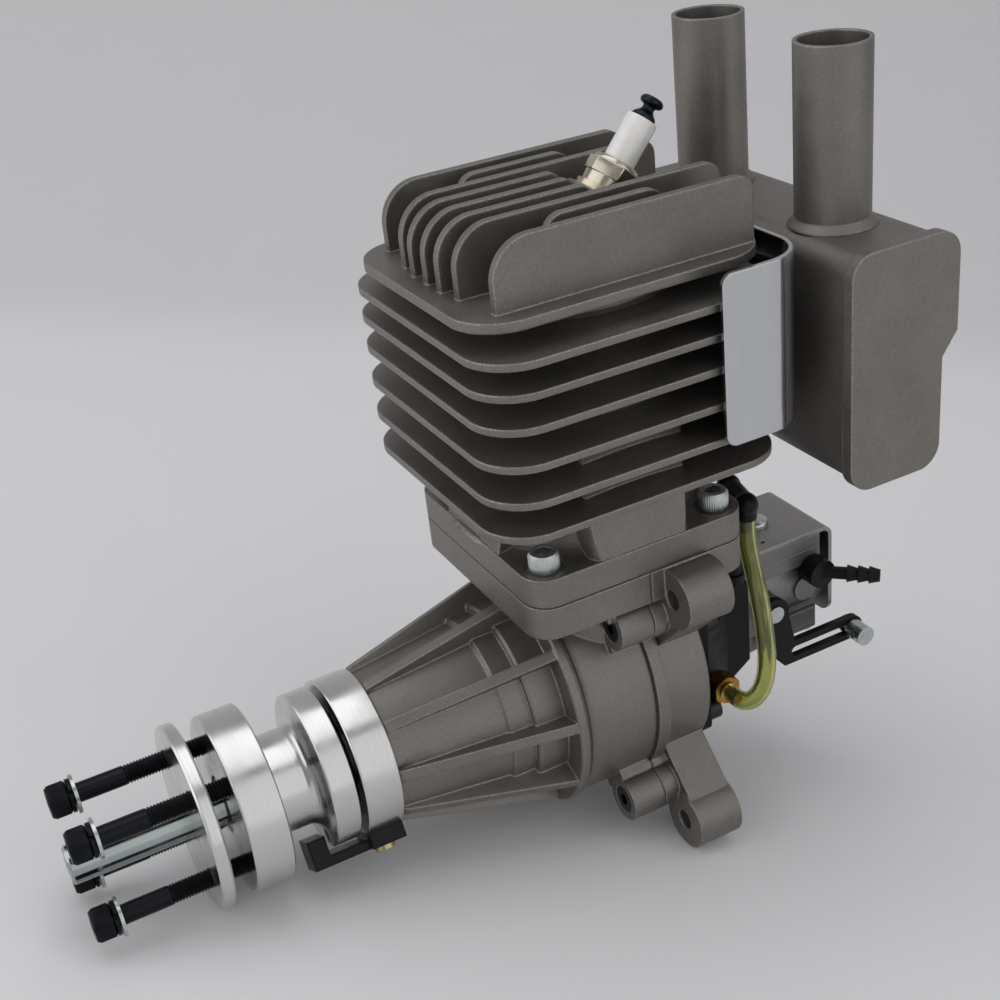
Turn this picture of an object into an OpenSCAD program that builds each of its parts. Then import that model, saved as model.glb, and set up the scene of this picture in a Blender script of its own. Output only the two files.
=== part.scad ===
// Single-cylinder two-stroke model aircraft engine with a rear reed intake and a rear exhaust.
// Y runs along the crankshaft with the propeller at -Y. Z runs up the cylinder.
// The origin is on the crank axis in the mounting plane, at the back of the four lugs.

/* [Layout] */
// From the cylinder axis back to the mounting plane
mount_y = 18; // [17:0.5:22]
// Diameter of the cylinder bore
bore_d = 45; // [42:0.5:46]
// Crank throw, half of the stroke
crank_r = 17.5; // [15:0.5:17.5]
// Centre distance of the connecting rod
rod_len = 66.8; // [66:0.2:70]

/* [Crankcase] */
// Outer radius of the crank drum
drum_r = 32; // [31.5:0.1:33]
// Front wall of the drum, measured from the cylinder axis
drum_front = 21; // [20.5:0.1:23]
// Place of the joint between the case halves, behind the cylinder axis
case_split = 1; // [0:0.1:2]
// Radius of the crank chamber
chamber_r = 27.5; // [27.2:0.1:28]
// Thickness of the rear wall of the crankcase
rear_wall = 8.5; // [8:0.5:10]
// Radius of the front end of the nose
nose_r = 19.8; // [19.5:0.1:20.2]
// Front end of the nose, measured from the cylinder axis
nose_front = 67.3; // [67:0.1:70]
// Number of ribs on the nose
rib_count = 10; // [6:1:12]
// Thickness of a nose rib
rib_t = 2.8; // [2:0.1:3.5]
// Turn of the first nose rib
rib_turn = 9; // [0:1:30]
// Centre of a case screw from the crank axis, sideways and up
case_screw_at = 27.4; // [27:0.1:28]
// Radius of a case screw boss
case_boss_r = 6; // [5.5:0.1:6.5]

/* [Mounting lugs] */
// Sideways distance of a lug hole from the crank axis
lug_x = 36; // [35:0.5:38]
// Height distance of a lug hole from the crank axis
lug_z = 35; // [34:0.5:37]
// Outer radius of a lug
lug_r = 8; // [7:0.1:8.5]
// Depth of a lug along the engine
lug_depth = 13; // [10:0.5:14]
// Diameter of a lug hole
lug_hole_d = 5.5; // [5:0.1:6]

/* [Cylinder deck] */
// Half width of the deck, across the engine
deck_hx = 33; // [32:0.1:34]
// Half length of the deck, along the engine
deck_hy = 31.2; // [30.5:0.1:32]
// Corner radius of the deck
deck_corner = 7; // [5:0.5:8]
// Height of the deck face above the crank axis
deck_z = 43; // [42.5:0.1:43.5]
// Thickness of the case deck
deck_t = 8.6; // [6:0.1:9.5]
// Thickness of a paper gasket
gasket_t = 0.5; // [0.3:0.1:0.8]
// Thickness of the cylinder foot flange
foot_t = 7.5; // [7:0.1:8]
// Sideways distance of a cylinder screw from the cylinder axis
foot_screw_x = 26.5; // [26:0.1:27]
// Lengthways distance of a cylinder screw from the cylinder axis
foot_screw_y = 24.6; // [24.2:0.1:25]

/* [Cylinder] */
// Wall of the cylinder barrel
barrel_wall = 5.5; // [4.5:0.1:6]
// Thickness of a cooling fin
fin_t = 1.8; // [1.4:0.1:2.2]
// Half width of the cooling fins
fin_hx = 40.1; // [38:0.1:40.5]
// Half length of the cooling fins
fin_hy = 40.1; // [38:0.1:40.5]
// Corner radius of the cooling fins
fin_corner = 12.8; // [10:0.2:14]
// Height of the lowest fin
fin_low_z = 66.7; // [65:0.1:68]
// Height step between the lower four fins
fin_pitch = 9.25; // [8.8:0.05:9.4]
// Height step between the upper fins
fin_pitch_top = 7.4; // [7:0.05:7.8]
// Half width of the top plate
top_hx = 35.1; // [33:0.1:36]
// Half length of the top plate
top_hy = 39.6; // [37:0.1:40]
// Thickness of the top plate
top_t = 2.4; // [2:0.1:3]
// Top of the bore, under the combustion chamber
bore_top_z = 105; // [104.8:0.1:106]
// Depth of the combustion chamber dome
dome_h = 12; // [8:0.5:13]

/* [Head fins] */
// Height of the fins on the top plate
crest_h = 16.5; // [12:0.5:18]
// Thickness of a head fin
crest_t = 2.2; // [1.6:0.1:2.6]
// Spacing of the head fins
crest_pitch = 7.1; // [6.6:0.1:7.2]
// Front end of the long head fins
crest_front = 31.5; // [28:0.5:34]
// Back end of the long head fins
crest_back = 37; // [34:0.5:38]
// Back end of the short head fins, in front of the plug
crest_short = 6.5; // [3:0.5:7]
// Radius of the front top corner of a head fin
crest_round = 10; // [6:0.5:12]

/* [Spark plug] */
// Backward lean of the spark plug from upright
plug_lean = 40; // [30:1:42]
// Place of the plug seat behind the cylinder axis
plug_seat_y = 13.6; // [12:0.1:15]
// Height of the plug seat above the crank axis
plug_seat_z = 128.6; // [127.5:0.1:130]
// Thread diameter of the plug
plug_thread_d = 10; // [10:0.5:12]
// Thread length of the plug
plug_reach = 12.7; // [11:0.1:13]
// Hexagon of the plug, across flats
plug_hex = 13; // [12.5:0.1:14]
// Diameter of the white insulator
plug_ceramic_d = 8.8; // [8:0.1:9.5]
// Length of the insulator above the hexagon
plug_ceramic_h = 15; // [12:0.5:18]

/* [Crankshaft] */
// Journal diameter in the front bearing and in the hub
nose_journal_d = 15; // [15:0.5:15.5]
// Journal diameter in the rear bearing
main_journal_d = 17; // [17:0.5:17.5]
// Thickness of the crank web
web_t = 12.2; // [11:0.1:12.6]
// Radius of the counterweight
web_r = 24; // [22:0.5:25]
// Diameter of the crank pin
crank_pin_d = 10; // [9:0.5:10]

/* [Bearings] */
// Outer diameter of the front bearing
front_bearing_d = 35; // [34:0.5:35]
// Width of the front bearing
front_bearing_w = 11; // [10:0.5:11]
// Outer diameter of the rear bearing
rear_bearing_d = 40; // [39:0.5:40]
// Width of the rear bearing
rear_bearing_w = 12; // [11:0.5:12]
// Balls in a bearing
ball_count = 9; // [7:1:9]
// Outer diameter of the shaft seal
seal_d = 28; // [26:0.5:29]
// Width of the shaft seal
seal_w = 5; // [4:0.5:5]

/* [Piston and rod] */
// Height of the piston crown above the wrist pin
crown_h = 20; // [18:0.5:20.4]
// Depth of the piston skirt below the wrist pin
skirt_h = 15; // [12:0.5:15.5]
// Diameter of the wrist pin
wrist_pin_d = 10; // [9:0.5:10.5]
// Length of the wrist pin
wrist_pin_len = 36; // [34:0.5:37]
// Thickness of the connecting rod
rod_t = 11; // [9:0.5:11.5]
// Wall of a needle bearing
needle_wall = 1.5; // [1.2:0.1:1.6]

/* [Propeller drive] */
// Radius of the drive flange
drive_r = 23; // [22:0.1:24]
// Front face of the drive flange, from the cylinder axis
drive_front = 107.7; // [107:0.1:110]
// Thickness of the drive flange
drive_t = 10.2; // [9:0.1:11]
// Radius of the hub neck
neck_r = 12.9; // [11.5:0.1:14]
// Radius of the magnet flange
magnet_flange_r = 20.4; // [19.5:0.1:21]
// Thickness of the magnet flange
magnet_flange_t = 6.8; // [6:0.1:7.2]
// Radius of the propeller washer
washer_r = 23.9; // [22.5:0.1:24.5]
// Thickness of the propeller washer
washer_t = 3.5; // [3:0.1:4]
// Gap left between the drive flange and the washer
washer_gap = 5.6; // [3:0.1:12]
// Pitch circle diameter of the propeller bolts
bolt_pcd = 32; // [31:0.5:33]
// Turn of the first propeller bolt
bolt_turn = 50.4; // [0:0.1:90]
// Length of a propeller bolt under its head
bolt_len = 43; // [38:1:43]
// Diameter of the centre stud
stud_d = 10; // [8:0.5:10]
// Length of the centre stud in front of the drive flange
stud_len = 39.5; // [36:0.5:42]

/* [Ignition sensor] */
// Radius of the sensor ring
ring_r = 21.2; // [20.5:0.1:22]
// Width of the sensor ring
ring_w = 9.9; // [9:0.1:10.1]
// Turn of the sensor holder around the crank axis
sensor_turn = -58; // [-75:1:-40]
// Diameter of the magnet
magnet_d = 4; // [3:0.5:4.5]

/* [Intake] */
// Back face of the intake block, from the cylinder axis
block_back = 41.95; // [41:0.05:43]
// Half width of the intake block at the crankcase
block_hx = 24; // [22:0.5:25]
// Half width of the intake block at the carburettor
block_end_hx = 16; // [15:0.5:17]
// Top of the intake block
block_top = 17; // [15:0.5:18]
// Bottom of the intake block at the crankcase
block_low = 21; // [18:0.5:22]
// Thickness of a reed petal
petal_t = 0.4; // [0.3:0.05:0.6]

/* [Carburettor] */
// Length of the carburettor along its bore
carb_len = 28; // [28:0.5:30]
// Half width of the carburettor
carb_hx = 13; // [12.5:0.1:13.5]
// Height of the carburettor bore above the crank axis
carb_z = 4.5; // [3.5:0.1:5]
// Half height of the carburettor casting
carb_hz = 12.5; // [12.3:0.1:13]
// Bore at the throttle
throttle_bore_d = 18.4; // [17:0.1:18.6]
// Bore at the choke
choke_bore_d = 20.2; // [19:0.1:20.6]
// Thickness of the pump and metering covers
cover_t = 4; // [3.5:0.1:4.5]
// Sheet thickness of the top bracket
bracket_t = 1.2; // [1:0.1:1.5]
// Reach of the throttle lever behind its shaft
lever_reach = 27; // [24:0.5:28]
// Drop of the throttle lever below its shaft
lever_drop = 15; // [13:0.5:16]

/* [Muffler] */
// Front face of the muffler box, from the cylinder axis
box_front = 49.6; // [49:0.1:51]
// Back face of the upper muffler box
box_back = 79.4; // [78.5:0.1:81]
// Inset of the lower back face
box_step = 4.5; // [3.5:0.1:5]
// Half length of the muffler across the engine
box_hx = 50; // [46:0.5:52]
// Bottom of the muffler box
box_low_z = 57.2; // [56:0.1:59]
// Top of the muffler box
box_top_z = 115.8; // [114:0.1:118]
// Edge radius of the muffler box
box_edge = 5; // [3:0.5:6]
// Wall of the muffler box
box_wall = 1.8; // [1.5:0.1:2.2]
// Rim of the end cap that stands out round the box
cap_rim = 1.2; // [0.8:0.1:1.6]
// Sideways place of an outlet pipe
pipe_x = 24.9; // [23:0.1:27]
// Outer radius of an outlet pipe
pipe_r = 9.35; // [8.5:0.05:10]
// Wall of an outlet pipe
pipe_wall = 1; // [0.8:0.1:1.3]
// Top of the outlet pipes above the crank axis
pipe_top_z = 160; // [150:1:170]

/* [Heat shield] */
// Sheet thickness of the heat shield
shield_t = 1.2; // [1:0.1:1.5]
// Gap between the fins and the inside of the heat shield
shield_gap = 1.4; // [1.2:0.1:2]
// Front edge of the shield wings, behind the cylinder axis
shield_front = 18.5; // [15:0.5:24]
// Bottom edge of the heat shield
shield_low_z = 75.5; // [74:0.5:78]
// Top edge of the heat shield
shield_top_z = 118.5; // [116:0.5:120]

/* [Impulse line] */
// Outer diameter of the impulse tube
tube_d = 5; // [4:0.1:5]

/* [Clearances] */
// Radial clearance of a piece that is fixed in its seat
seat_gap = 0.05; // [0.02:0.01:0.1]
// Radial clearance of a running fit
run_gap = 0.08; // [0.05:0.01:0.1]
// Side clearance between moving faces
side_gap = 0.3; // [0.3:0.05:0.5]

/* [Hidden] */
$fn = 96;

// Sizes that follow from the ones above
bore_r = bore_d / 2;
barrel_r = bore_r + barrel_wall;
foot_z = deck_z + gasket_t;
foot_top = foot_z + foot_t;
fin_levels = [fin_low_z, fin_low_z + fin_pitch, fin_low_z + 2 * fin_pitch,
    fin_low_z + 3 * fin_pitch, fin_low_z + 3 * fin_pitch + 8.2,
    fin_low_z + 3 * fin_pitch + 8.2 + fin_pitch_top];
top_z = fin_levels[5] + fin_pitch_top + top_t / 2;
wrist_z = crank_r + rod_len;
case_back = mount_y;
chamber_back = case_back - rear_wall;
carb_y = block_back + seat_gap;
throttle_y = carb_y + 7;
choke_y = carb_y + 22;
spigot_r = bore_r + 2.5;
spigot_z = deck_z - 7.5;
web_back = -rod_t / 2 - 1.3;
web_front = web_back - web_t;
ring_front = nose_front + ring_w;
magnet_back = ring_front + 1.4;
stub_face = fin_hy + shield_gap + 1.6;
shield_in_x = fin_hx + shield_gap;
port_hx = 12;
port_z0 = 70;
port_z1 = 82;
stub_hx = 22.5;
stub_z0 = 65.8;
stub_z1 = 87;
box_screw_x = 17.5;
box_screw_z = 76.5;
eps = 0.01;

// Every sub-part is drawn from the cylinder axis and set back by this module
module place() {
    translate([0, -mount_y, 0]) children();
}

// Round bar along Y between two places
module bar_y(y0, y1, r) {
    translate([0, y0, 0]) rotate([-90, 0, 0]) cylinder(h = y1 - y0, r = r);
}

// Cone along Y between two places
module cone_y(y0, y1, r0, r1) {
    translate([0, y0, 0]) rotate([-90, 0, 0]) cylinder(h = y1 - y0, r1 = r0, r2 = r1);
}

// Round bar along X between two places
module bar_x(x0, x1, r) {
    translate([x0, 0, 0]) rotate([0, 90, 0]) cylinder(h = x1 - x0, r = r);
}

// Block between two opposite corners
module block(x0, x1, y0, y1, z0, z1) {
    translate([x0, y0, z0]) cube([x1 - x0, y1 - y0, z1 - z0]);
}

// Solid turned about Y from an outline of [radius, y] points
module turn_y(points) {
    rotate([-90, 0, 0]) rotate_extrude() polygon([for (p = points) [p[0], p[1]]]);
}

// Outline in Y and Z drawn along X between two places
module slab_x(x0, x1) {
    translate([x0, 0, 0]) rotate([90, 0, 90]) linear_extrude(x1 - x0) children();
}

// Outline in X and Z drawn along Y between two places
module slab_y(y0, y1) {
    translate([0, y1, 0]) rotate([90, 0, 0]) linear_extrude(y1 - y0) children();
}

module round_square(hx, hy, r) {
    square([2 * (hx - r), 2 * hy], center = true);
    square([2 * hx, 2 * (hy - r)], center = true);
    for (sx = [-1, 1], sy = [-1, 1]) translate([sx * (hx - r), sy * (hy - r)]) circle(r);
}

module plate(hx, hy, r, z0, z1) {
    translate([0, 0, z0]) linear_extrude(z1 - z0) round_square(hx, hy, r);
}

// Copies at the four corners of a rectangle in X and Z
module corners_xz(x, z) {
    for (sx = [-1, 1], sz = [-1, 1]) translate([sx * x, 0, sz * z]) children();
}

// Copies at the four corners of a rectangle in X and Y
module corners_xy(x, y) {
    for (sx = [-1, 1], sy = [-1, 1]) translate([sx * x, sy * y, 0]) children();
}

// Socket head cap screw that stands on z = 0 and points down
module cap_screw(d, len, head_d, head_h, key) {
    translate([0, 0, -len]) cylinder(h = len + eps, d = d);
    difference() {
        cylinder(h = head_h, d = head_d);
        translate([0, 0, head_h * 0.45]) cylinder(h = head_h, d = key / cos(30), $fn = 6);
    }
}

// Ring about the Z axis
module ring(r_in, r_out, h) {
    difference() {
        cylinder(h = h, r = r_out);
        translate([0, 0, -1]) cylinder(h = h + 2, r = r_in);
    }
}

// Crankcase

case_gasket_t = 0.3;
case_front_end = case_split - case_gasket_t / 2;
case_rear_end = case_split + case_gasket_t / 2;
case_screw_seat = -4.5;
case_screw_len = 18;
m4_head_d = 7;
m4_head_h = 4;
front_seat_y0 = -nose_front + seal_w;
front_seat_y1 = front_seat_y0 + front_bearing_w;
rear_seat_y1 = -drum_front;
rear_seat_y0 = rear_seat_y1 - rear_bearing_w;
foot_seat = foot_top - 0.3;
foot_screw_len = 15;
duct_hy = 8;
duct_x0 = bore_r + 1.1;
duct_x1 = duct_x0 + 4.6;
duct_cover_hy = duct_hy + 5.9;
skirt_hx = 14;
case_neck_r = bore_r + 3;
case_neck_z = 14;
neck_hx = duct_x1 + 2.1;
pocket_z = 32.5;
ring_bore_r = 16.4;
port_case_hx = 13;
port_case_hz = 9.8;
block_screw_x = 20;
block_screw_z = 14;
block_mid_z = (block_top - block_low) / 2;

// Nose of the case with its two bearing steps, as [radius, y]
module nose_body() {
    step_1 = nose_r + 4.4;
    step_2 = nose_r + 6.2;
    turn_y([[0, -nose_front - 6], [ring_bore_r - 0.5, -nose_front - 6], [ring_bore_r - seat_gap, -nose_front - 5.5],
        [ring_bore_r - seat_gap, -nose_front], [nose_r, -nose_front], [step_1 - 1, -38], [step_1, -37.2],
        [step_1, -31], [step_2 - 0.6, -31], [step_2, -30.4], [step_2, -drum_front], [0, -drum_front]]);
}

// One rib from the front of the nose to the rim of the drum
module nose_rib() {
    slab_x(-rib_t / 2, rib_t / 2) polygon([[-nose_front, nose_r - 3], [-nose_front, nose_r + 0.7],
        [-nose_front + 1.2, nose_r + 1.4], [-drum_front - 1, drum_r + 0.3], [-drum_front, drum_r - 9],
        [-38, nose_r]]);
}

// Deck between two places along Y
module case_deck(y0, y1) {
    intersection() {
        plate(deck_hx, deck_hy, deck_corner, deck_z - deck_t, deck_z);
        block(-50, 50, y0, y1, 0, 60);
    }
}

// Neck under the deck, between two places along Y, with its foot over the intake block raised
module case_neck(y0, y1) {
    step_y = case_back - 0.6;
    step_z = block_top + 1.8;
    intersection() {
        cylinder(h = deck_z - deck_t / 2, r = case_neck_r);
        slab_x(-50, 50) polygon([[y0, case_neck_z], [step_y, case_neck_z], [step_y, step_z], [y1, step_z], [y1, 60], [y0, 60]]);
    }
}

// Walls of the transfer pockets under the deck
module pocket_walls(y0, y1) {
    block(-neck_hx, neck_hx, y0, y1, pocket_z - 1.6, deck_z - deck_t / 2);
}

// Space inside the crankcase and the two transfer ducts
module case_space() {
    translate([0, 0, spigot_z - 0.3]) cylinder(h = 20, r = spigot_r + 0.2);
    translate([0, 0, 24]) cylinder(h = 20, r = bore_r + 0.4);
    block(-21, 21, -7.5, 7.5, 8, spigot_z + 1);
    block(-duct_x1, duct_x1, -duct_hy, duct_hy, pocket_z, 60);
    bar_y(-drum_front + 1, chamber_back, chamber_r);
}

// Flange of the case joint, with the four screw bosses
module case_joint(y0, y1) {
    bar_y(y0, y1, drum_r + 0.8);
    case_screw_bosses(y0, y1);
    case_deck(y0, y1);
    intersection() {
        case_neck(y0 - 1, case_back + 20);
        block(-50, 50, y0, y1, 0, 60);
    }
    pocket_walls(y0, y1);
}

module case_screw_bosses(y0, y1) {
    corners_xz(case_screw_at, case_screw_at) bar_y(y0, y1, case_boss_r);
    for (a = [45:90:315]) rotate([0, -a, 0])
        block(chamber_r + 0.5, case_screw_at * sqrt(2) - 4.6, y0 + min(0.5, (y1 - y0) / 100), y1,
            -case_boss_r + 0.8, case_boss_r - 0.8);
}

module case_screw_holes(y0, y1, r) {
    corners_xz(case_screw_at, case_screw_at) bar_y(y0, y1, r);
}

// Threaded hole for a cylinder screw
module foot_thread() {
    translate([0, 0, foot_seat - foot_screw_len - 0.4]) cylinder(h = 30, r = 2.5 + seat_gap);
}

// Drum of the front case with a rim, a groove and a rounded shoulder, as [radius, y]
module front_drum() {
    rim_r = drum_r + 1;
    rim_y = -drum_front - 1.4;
    groove_y = rim_y + 2.8;
    turn_y([[0, rim_y], [rim_r - 0.5, rim_y], [rim_r, rim_y + 0.5], [rim_r, groove_y - 0.6], [rim_r - 0.5, groove_y - 0.1],
        [drum_r - 1.2, groove_y], [drum_r - 1.2, groove_y + 0.8], [drum_r - 0.6, groove_y + 1.3],
        [drum_r - 0.2, groove_y + 2.2], [drum_r, groove_y + 3.6], [drum_r, case_front_end], [0, case_front_end]]);
}

module front_case() {
    color("#8f8c88") place() difference() {
        union() {
            front_drum();
            nose_body();
            for (i = [0:rib_count - 1]) rotate([0, 90 - rib_turn - i * 360 / rib_count, 0]) nose_rib();
            case_deck(-deck_hy - 1, case_front_end);
            intersection() {
                case_neck(-case_neck_r - 1, case_back + 20);
                block(-50, 50, -50, case_front_end, 0, 60);
            }
            pocket_walls(-duct_hy - 2.4, case_front_end);
            case_screw_bosses(case_screw_seat - m4_head_h, case_front_end);
        }
        case_space();
        bar_y(-nose_front - 8, front_seat_y0 + 1, seal_d / 2 + seat_gap);
        bar_y(front_seat_y0, rear_seat_y0 + 1, front_bearing_d / 2 + seat_gap);
        bar_y(rear_seat_y0, rear_seat_y1 + 1, rear_bearing_d / 2 + seat_gap);
        case_screw_holes(case_screw_seat - 14, case_screw_seat, m4_head_d / 2 + 0.2);
        case_screw_holes(case_screw_seat - 1, case_split + 1, 2.2);
        for (sx = [-1, 1]) translate([sx * foot_screw_x, -foot_screw_y, 0]) foot_thread();
    }
}

// Lug web and boss towards the upper right corner
module lug() {
    translate([lug_x, 0, lug_z]) bar_y(case_back - lug_depth, case_back, lug_r);
    rotate([0, -atan2(lug_z, lug_x), 0])
        block(chamber_r + 1, norm([lug_x, lug_z]) - 3.4, case_back - lug_depth + 0.6, case_back - 0.3, -lug_r + 0.8, lug_r - 0.8);
}

module rear_case() {
    color("#8b8884") place() difference() {
        union() {
            bar_y(case_rear_end, case_back, drum_r - 0.8);
            bar_y(case_rear_end, case_rear_end + 3.4, drum_r + 0.8);
            case_deck(case_rear_end, deck_hy + 1);
            case_neck(case_rear_end, case_neck_r + 1);
            pocket_walls(case_rear_end, duct_hy + 2.4);
            case_screw_bosses(case_rear_end, case_back - 1);
            for (mx = [0, 1], mz = [0, 1]) mirror([mx, 0, 0]) mirror([0, 0, mz]) lug();
        }
        case_space();
        slab_y(0, case_back + 1) translate([0, carb_z]) round_square(port_case_hx, port_case_hz, 2);
        corners_xz(lug_x, lug_z) bar_y(0, case_back + 1, lug_hole_d / 2);
        case_screw_holes(0, case_screw_seat + case_screw_len + 0.5, 2 + seat_gap);
        for (sx = [-1, 1]) translate([sx * foot_screw_x, foot_screw_y, 0]) foot_thread();
        translate([0, 0, block_mid_z]) corners_xz(block_screw_x, block_screw_z)
            bar_y(case_back - 7, case_back + 1, 2 + seat_gap);
    }
}

module case_gasket() {
    color("#3c3f42") place() difference() {
        case_joint(case_front_end, case_rear_end);
        case_space();
        case_screw_holes(0, 3, 2.2);
    }
}

// Case screws at the front, and the screws of the intake block
block_screw_seat = case_back + 5;
module case_screws() {
    color("#4a4a4a") place() {
        corners_xz(case_screw_at, case_screw_at) translate([0, case_screw_seat, 0]) rotate([90, 0, 0])
            cap_screw(4, case_screw_len, m4_head_d, m4_head_h, 3);
        translate([0, 0, block_mid_z]) corners_xz(block_screw_x, block_screw_z)
            translate([0, block_screw_seat, 0]) rotate([-90, 0, 0]) cap_screw(4, 11.5, m4_head_d, m4_head_h, 3);
    }
}

module base_gasket() {
    color("#2f3235") place() difference() {
        plate(deck_hx, deck_hy, deck_corner, deck_z, foot_z);
        translate([0, 0, deck_z - 1]) cylinder(h = 3, r = spigot_r + 0.3);
        for (sx = [-1, 1]) translate([sx * (duct_x0 + duct_x1) / 2, 0, 0])
            block(-(duct_x1 - duct_x0) / 2, (duct_x1 - duct_x0) / 2, -duct_hy, duct_hy, 10, 60);
        corners_xy(foot_screw_x, foot_screw_y) translate([0, 0, deck_z - 1]) cylinder(h = 3, r = 2.7);
    }
}

// Cylinder

fillet_steps = 6;
dome_edge_r = bore_r - 4.5;
dome_r = (dome_edge_r * dome_edge_r + dome_h * dome_h) / (2 * dome_h);

// Concave fillet where the barrel meets the foot flange
module foot_fillet(r) {
    rotate_extrude() polygon(concat([[barrel_r - 1, foot_top - eps]],
        [for (i = [0:fillet_steps]) let (a = 90 * i / fillet_steps)
            [barrel_r + r - r * sin(a), foot_top + r - r * cos(a)]],
        [[barrel_r - 1, foot_top + r]]));
}

// Fin with a thicker root
module fin(hx, hy, z) {
    plate(hx, hy, fin_corner, z - fin_t / 2, z + fin_t / 2);
    rotate_extrude() polygon([[barrel_r - 1, z - 2.6], [barrel_r, z - 2.6], [barrel_r + 1, z - 1.6],
        [barrel_r + 5, z - fin_t / 2 + eps], [barrel_r + 5, z + fin_t / 2 - eps], [barrel_r + 1, z + 1.6],
        [barrel_r, z + 2.6], [barrel_r - 1, z + 2.6]]);
}

// Upright fin on the top plate, between two places along Y
module crest(x, y0, y1, front_r, back_r) {
    top = top_z + crest_h;
    translate([x, 0, 0]) slab_x(-crest_t / 2, crest_t / 2) {
        translate([y0, top_z - 1]) square([y1 - y0, crest_h + 1 - front_r]);
        translate([y0 + front_r, top_z]) square([y1 - y0 - front_r - back_r, crest_h]);
        translate([y1 - back_r - 1, top_z]) square([back_r + 1, crest_h - back_r]);
        translate([y0 + front_r, top - front_r]) circle(front_r);
        translate([y1 - back_r, top - back_r]) circle(back_r);
    }
}

module on_plug() {
    translate([0, plug_seat_y, plug_seat_z]) rotate([-plug_lean, 0, 0]) children();
}

module stub_outline() {
    translate([0, (stub_z0 + stub_z1) / 2]) round_square(stub_hx, (stub_z1 - stub_z0) / 2, 3);
}

module port_outline() {
    translate([0, (port_z0 + port_z1) / 2]) round_square(port_hx, (port_z1 - port_z0) / 2, 3);
}

// Outer wall of a transfer duct, leaning in from the foot flange to the fins
module duct_cover() {
    foot_x = deck_hx - 0.6;
    intersection() {
        slab_y(-duct_cover_hy, duct_cover_hy) polygon([[20, foot_top - 1], [foot_x, foot_top - 1], [foot_x, foot_top],
            [foot_x - 2.4, fin_low_z], [foot_x - 2.4, fin_levels[2]], [20, fin_levels[2]]]);
        plate(deck_hx, duct_cover_hy, 4, foot_top - 1, fin_levels[2]);
    }
}

// Leaning wall between two screw corners of the foot
module skirt() {
    foot_y = deck_hy - 0.6;
    slab_x(-skirt_hx, skirt_hx) polygon([[20, foot_top - 1], [foot_y, foot_top - 1], [foot_y, foot_top],
        [foot_y - 3.4, fin_low_z], [20, fin_low_z]]);
}

module cylinder_solid() {
    translate([0, 0, spigot_z]) cylinder(h = foot_z - spigot_z + 1, r = spigot_r);
    plate(deck_hx, deck_hy, deck_corner, foot_z, foot_top);
    translate([0, 0, foot_z]) cylinder(h = top_z - 1 - foot_z, r = barrel_r);
    foot_fillet(5);
    for (i = [0:5]) fin(i == 0 ? fin_hx - 1 : fin_hx, fin_hy, fin_levels[i]);
    plate(top_hx, top_hy, fin_corner, top_z - top_t, top_z);
    translate([0, 0, top_z - eps]) cylinder(h = 3.2, r1 = 19, r2 = 12);
    for (mx = [0, 1]) mirror([mx, 0, 0]) duct_cover();
    for (my = [0, 1]) mirror([0, my, 0]) skirt();
    slab_y(bore_r, stub_face) stub_outline();
    on_plug() translate([0, 0, -16]) cylinder(h = 16, r = 8.6);
    for (s = [-1, 1]) {
        crest(s * 4 * crest_pitch, -crest_front, crest_back, crest_round, 4);
        crest(s * 3 * crest_pitch, -14, 18, 5, 5);
        crest(s * 2 * crest_pitch, -crest_front - 2, crest_back + 1, crest_round, 4);
        crest(s * crest_pitch, -crest_front - 3, crest_short, crest_round, 3);
    }
    crest(0, -crest_front - 3, crest_short, crest_round, 3);
}

module cylinder_casting() {
    difference() {
        cylinder_solid();
        translate([0, 0, spigot_z - 1]) cylinder(h = bore_top_z - spigot_z + 1, r = bore_r);
        translate([0, 0, bore_top_z + dome_h - dome_r]) sphere(r = dome_r);
        on_plug() translate([0, 0, -24]) cylinder(h = 30, r = plug_thread_d / 2 + seat_gap);
        on_plug() cylinder(h = 40, r = 9.4);
        slab_y(bore_r - 3, stub_face + 1) port_outline();
        for (sx = [-1, 1]) {
            translate([sx * box_screw_x, 0, box_screw_z]) bar_y(stub_face - 10, stub_face + 1, 2.5 + seat_gap);
            translate([sx * (duct_x0 + duct_x1) / 2, 0, 0])
                block(-(duct_x1 - duct_x0) / 2, (duct_x1 - duct_x0) / 2, -duct_hy, duct_hy, spigot_z - 1, port_z1);
            translate([sx * bore_r, 0, 0]) block(-4, 4, -duct_hy, duct_hy, port_z0 + 2, port_z1);
        }
        corners_xy(foot_screw_x, foot_screw_y) translate([0, 0, foot_seat]) {
            cylinder(h = 9, r = 5.2);
            translate([0, 0, -20]) cylinder(h = 21, r = 2.7);
        }
    }
}

module engine_cylinder() {
    color("#8d8a86") place() cylinder_casting();
}

module cylinder_screws() {
    color("#c9cbce") place() corners_xy(foot_screw_x, foot_screw_y) translate([0, 0, foot_seat])
        cap_screw(5, foot_screw_len, 8.5, 5, 4);
}

// Spark plug

plug_hex_z = 3.6;
plug_hex_h = 5;
ceramic_z = plug_hex_z + plug_hex_h + 1.6;

module plug_gasket() {
    color("#b08d57") place() on_plug() translate([0, 0, 0.05]) ring(plug_thread_d / 2 + 0.1, 7, 1.5);
}

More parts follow.
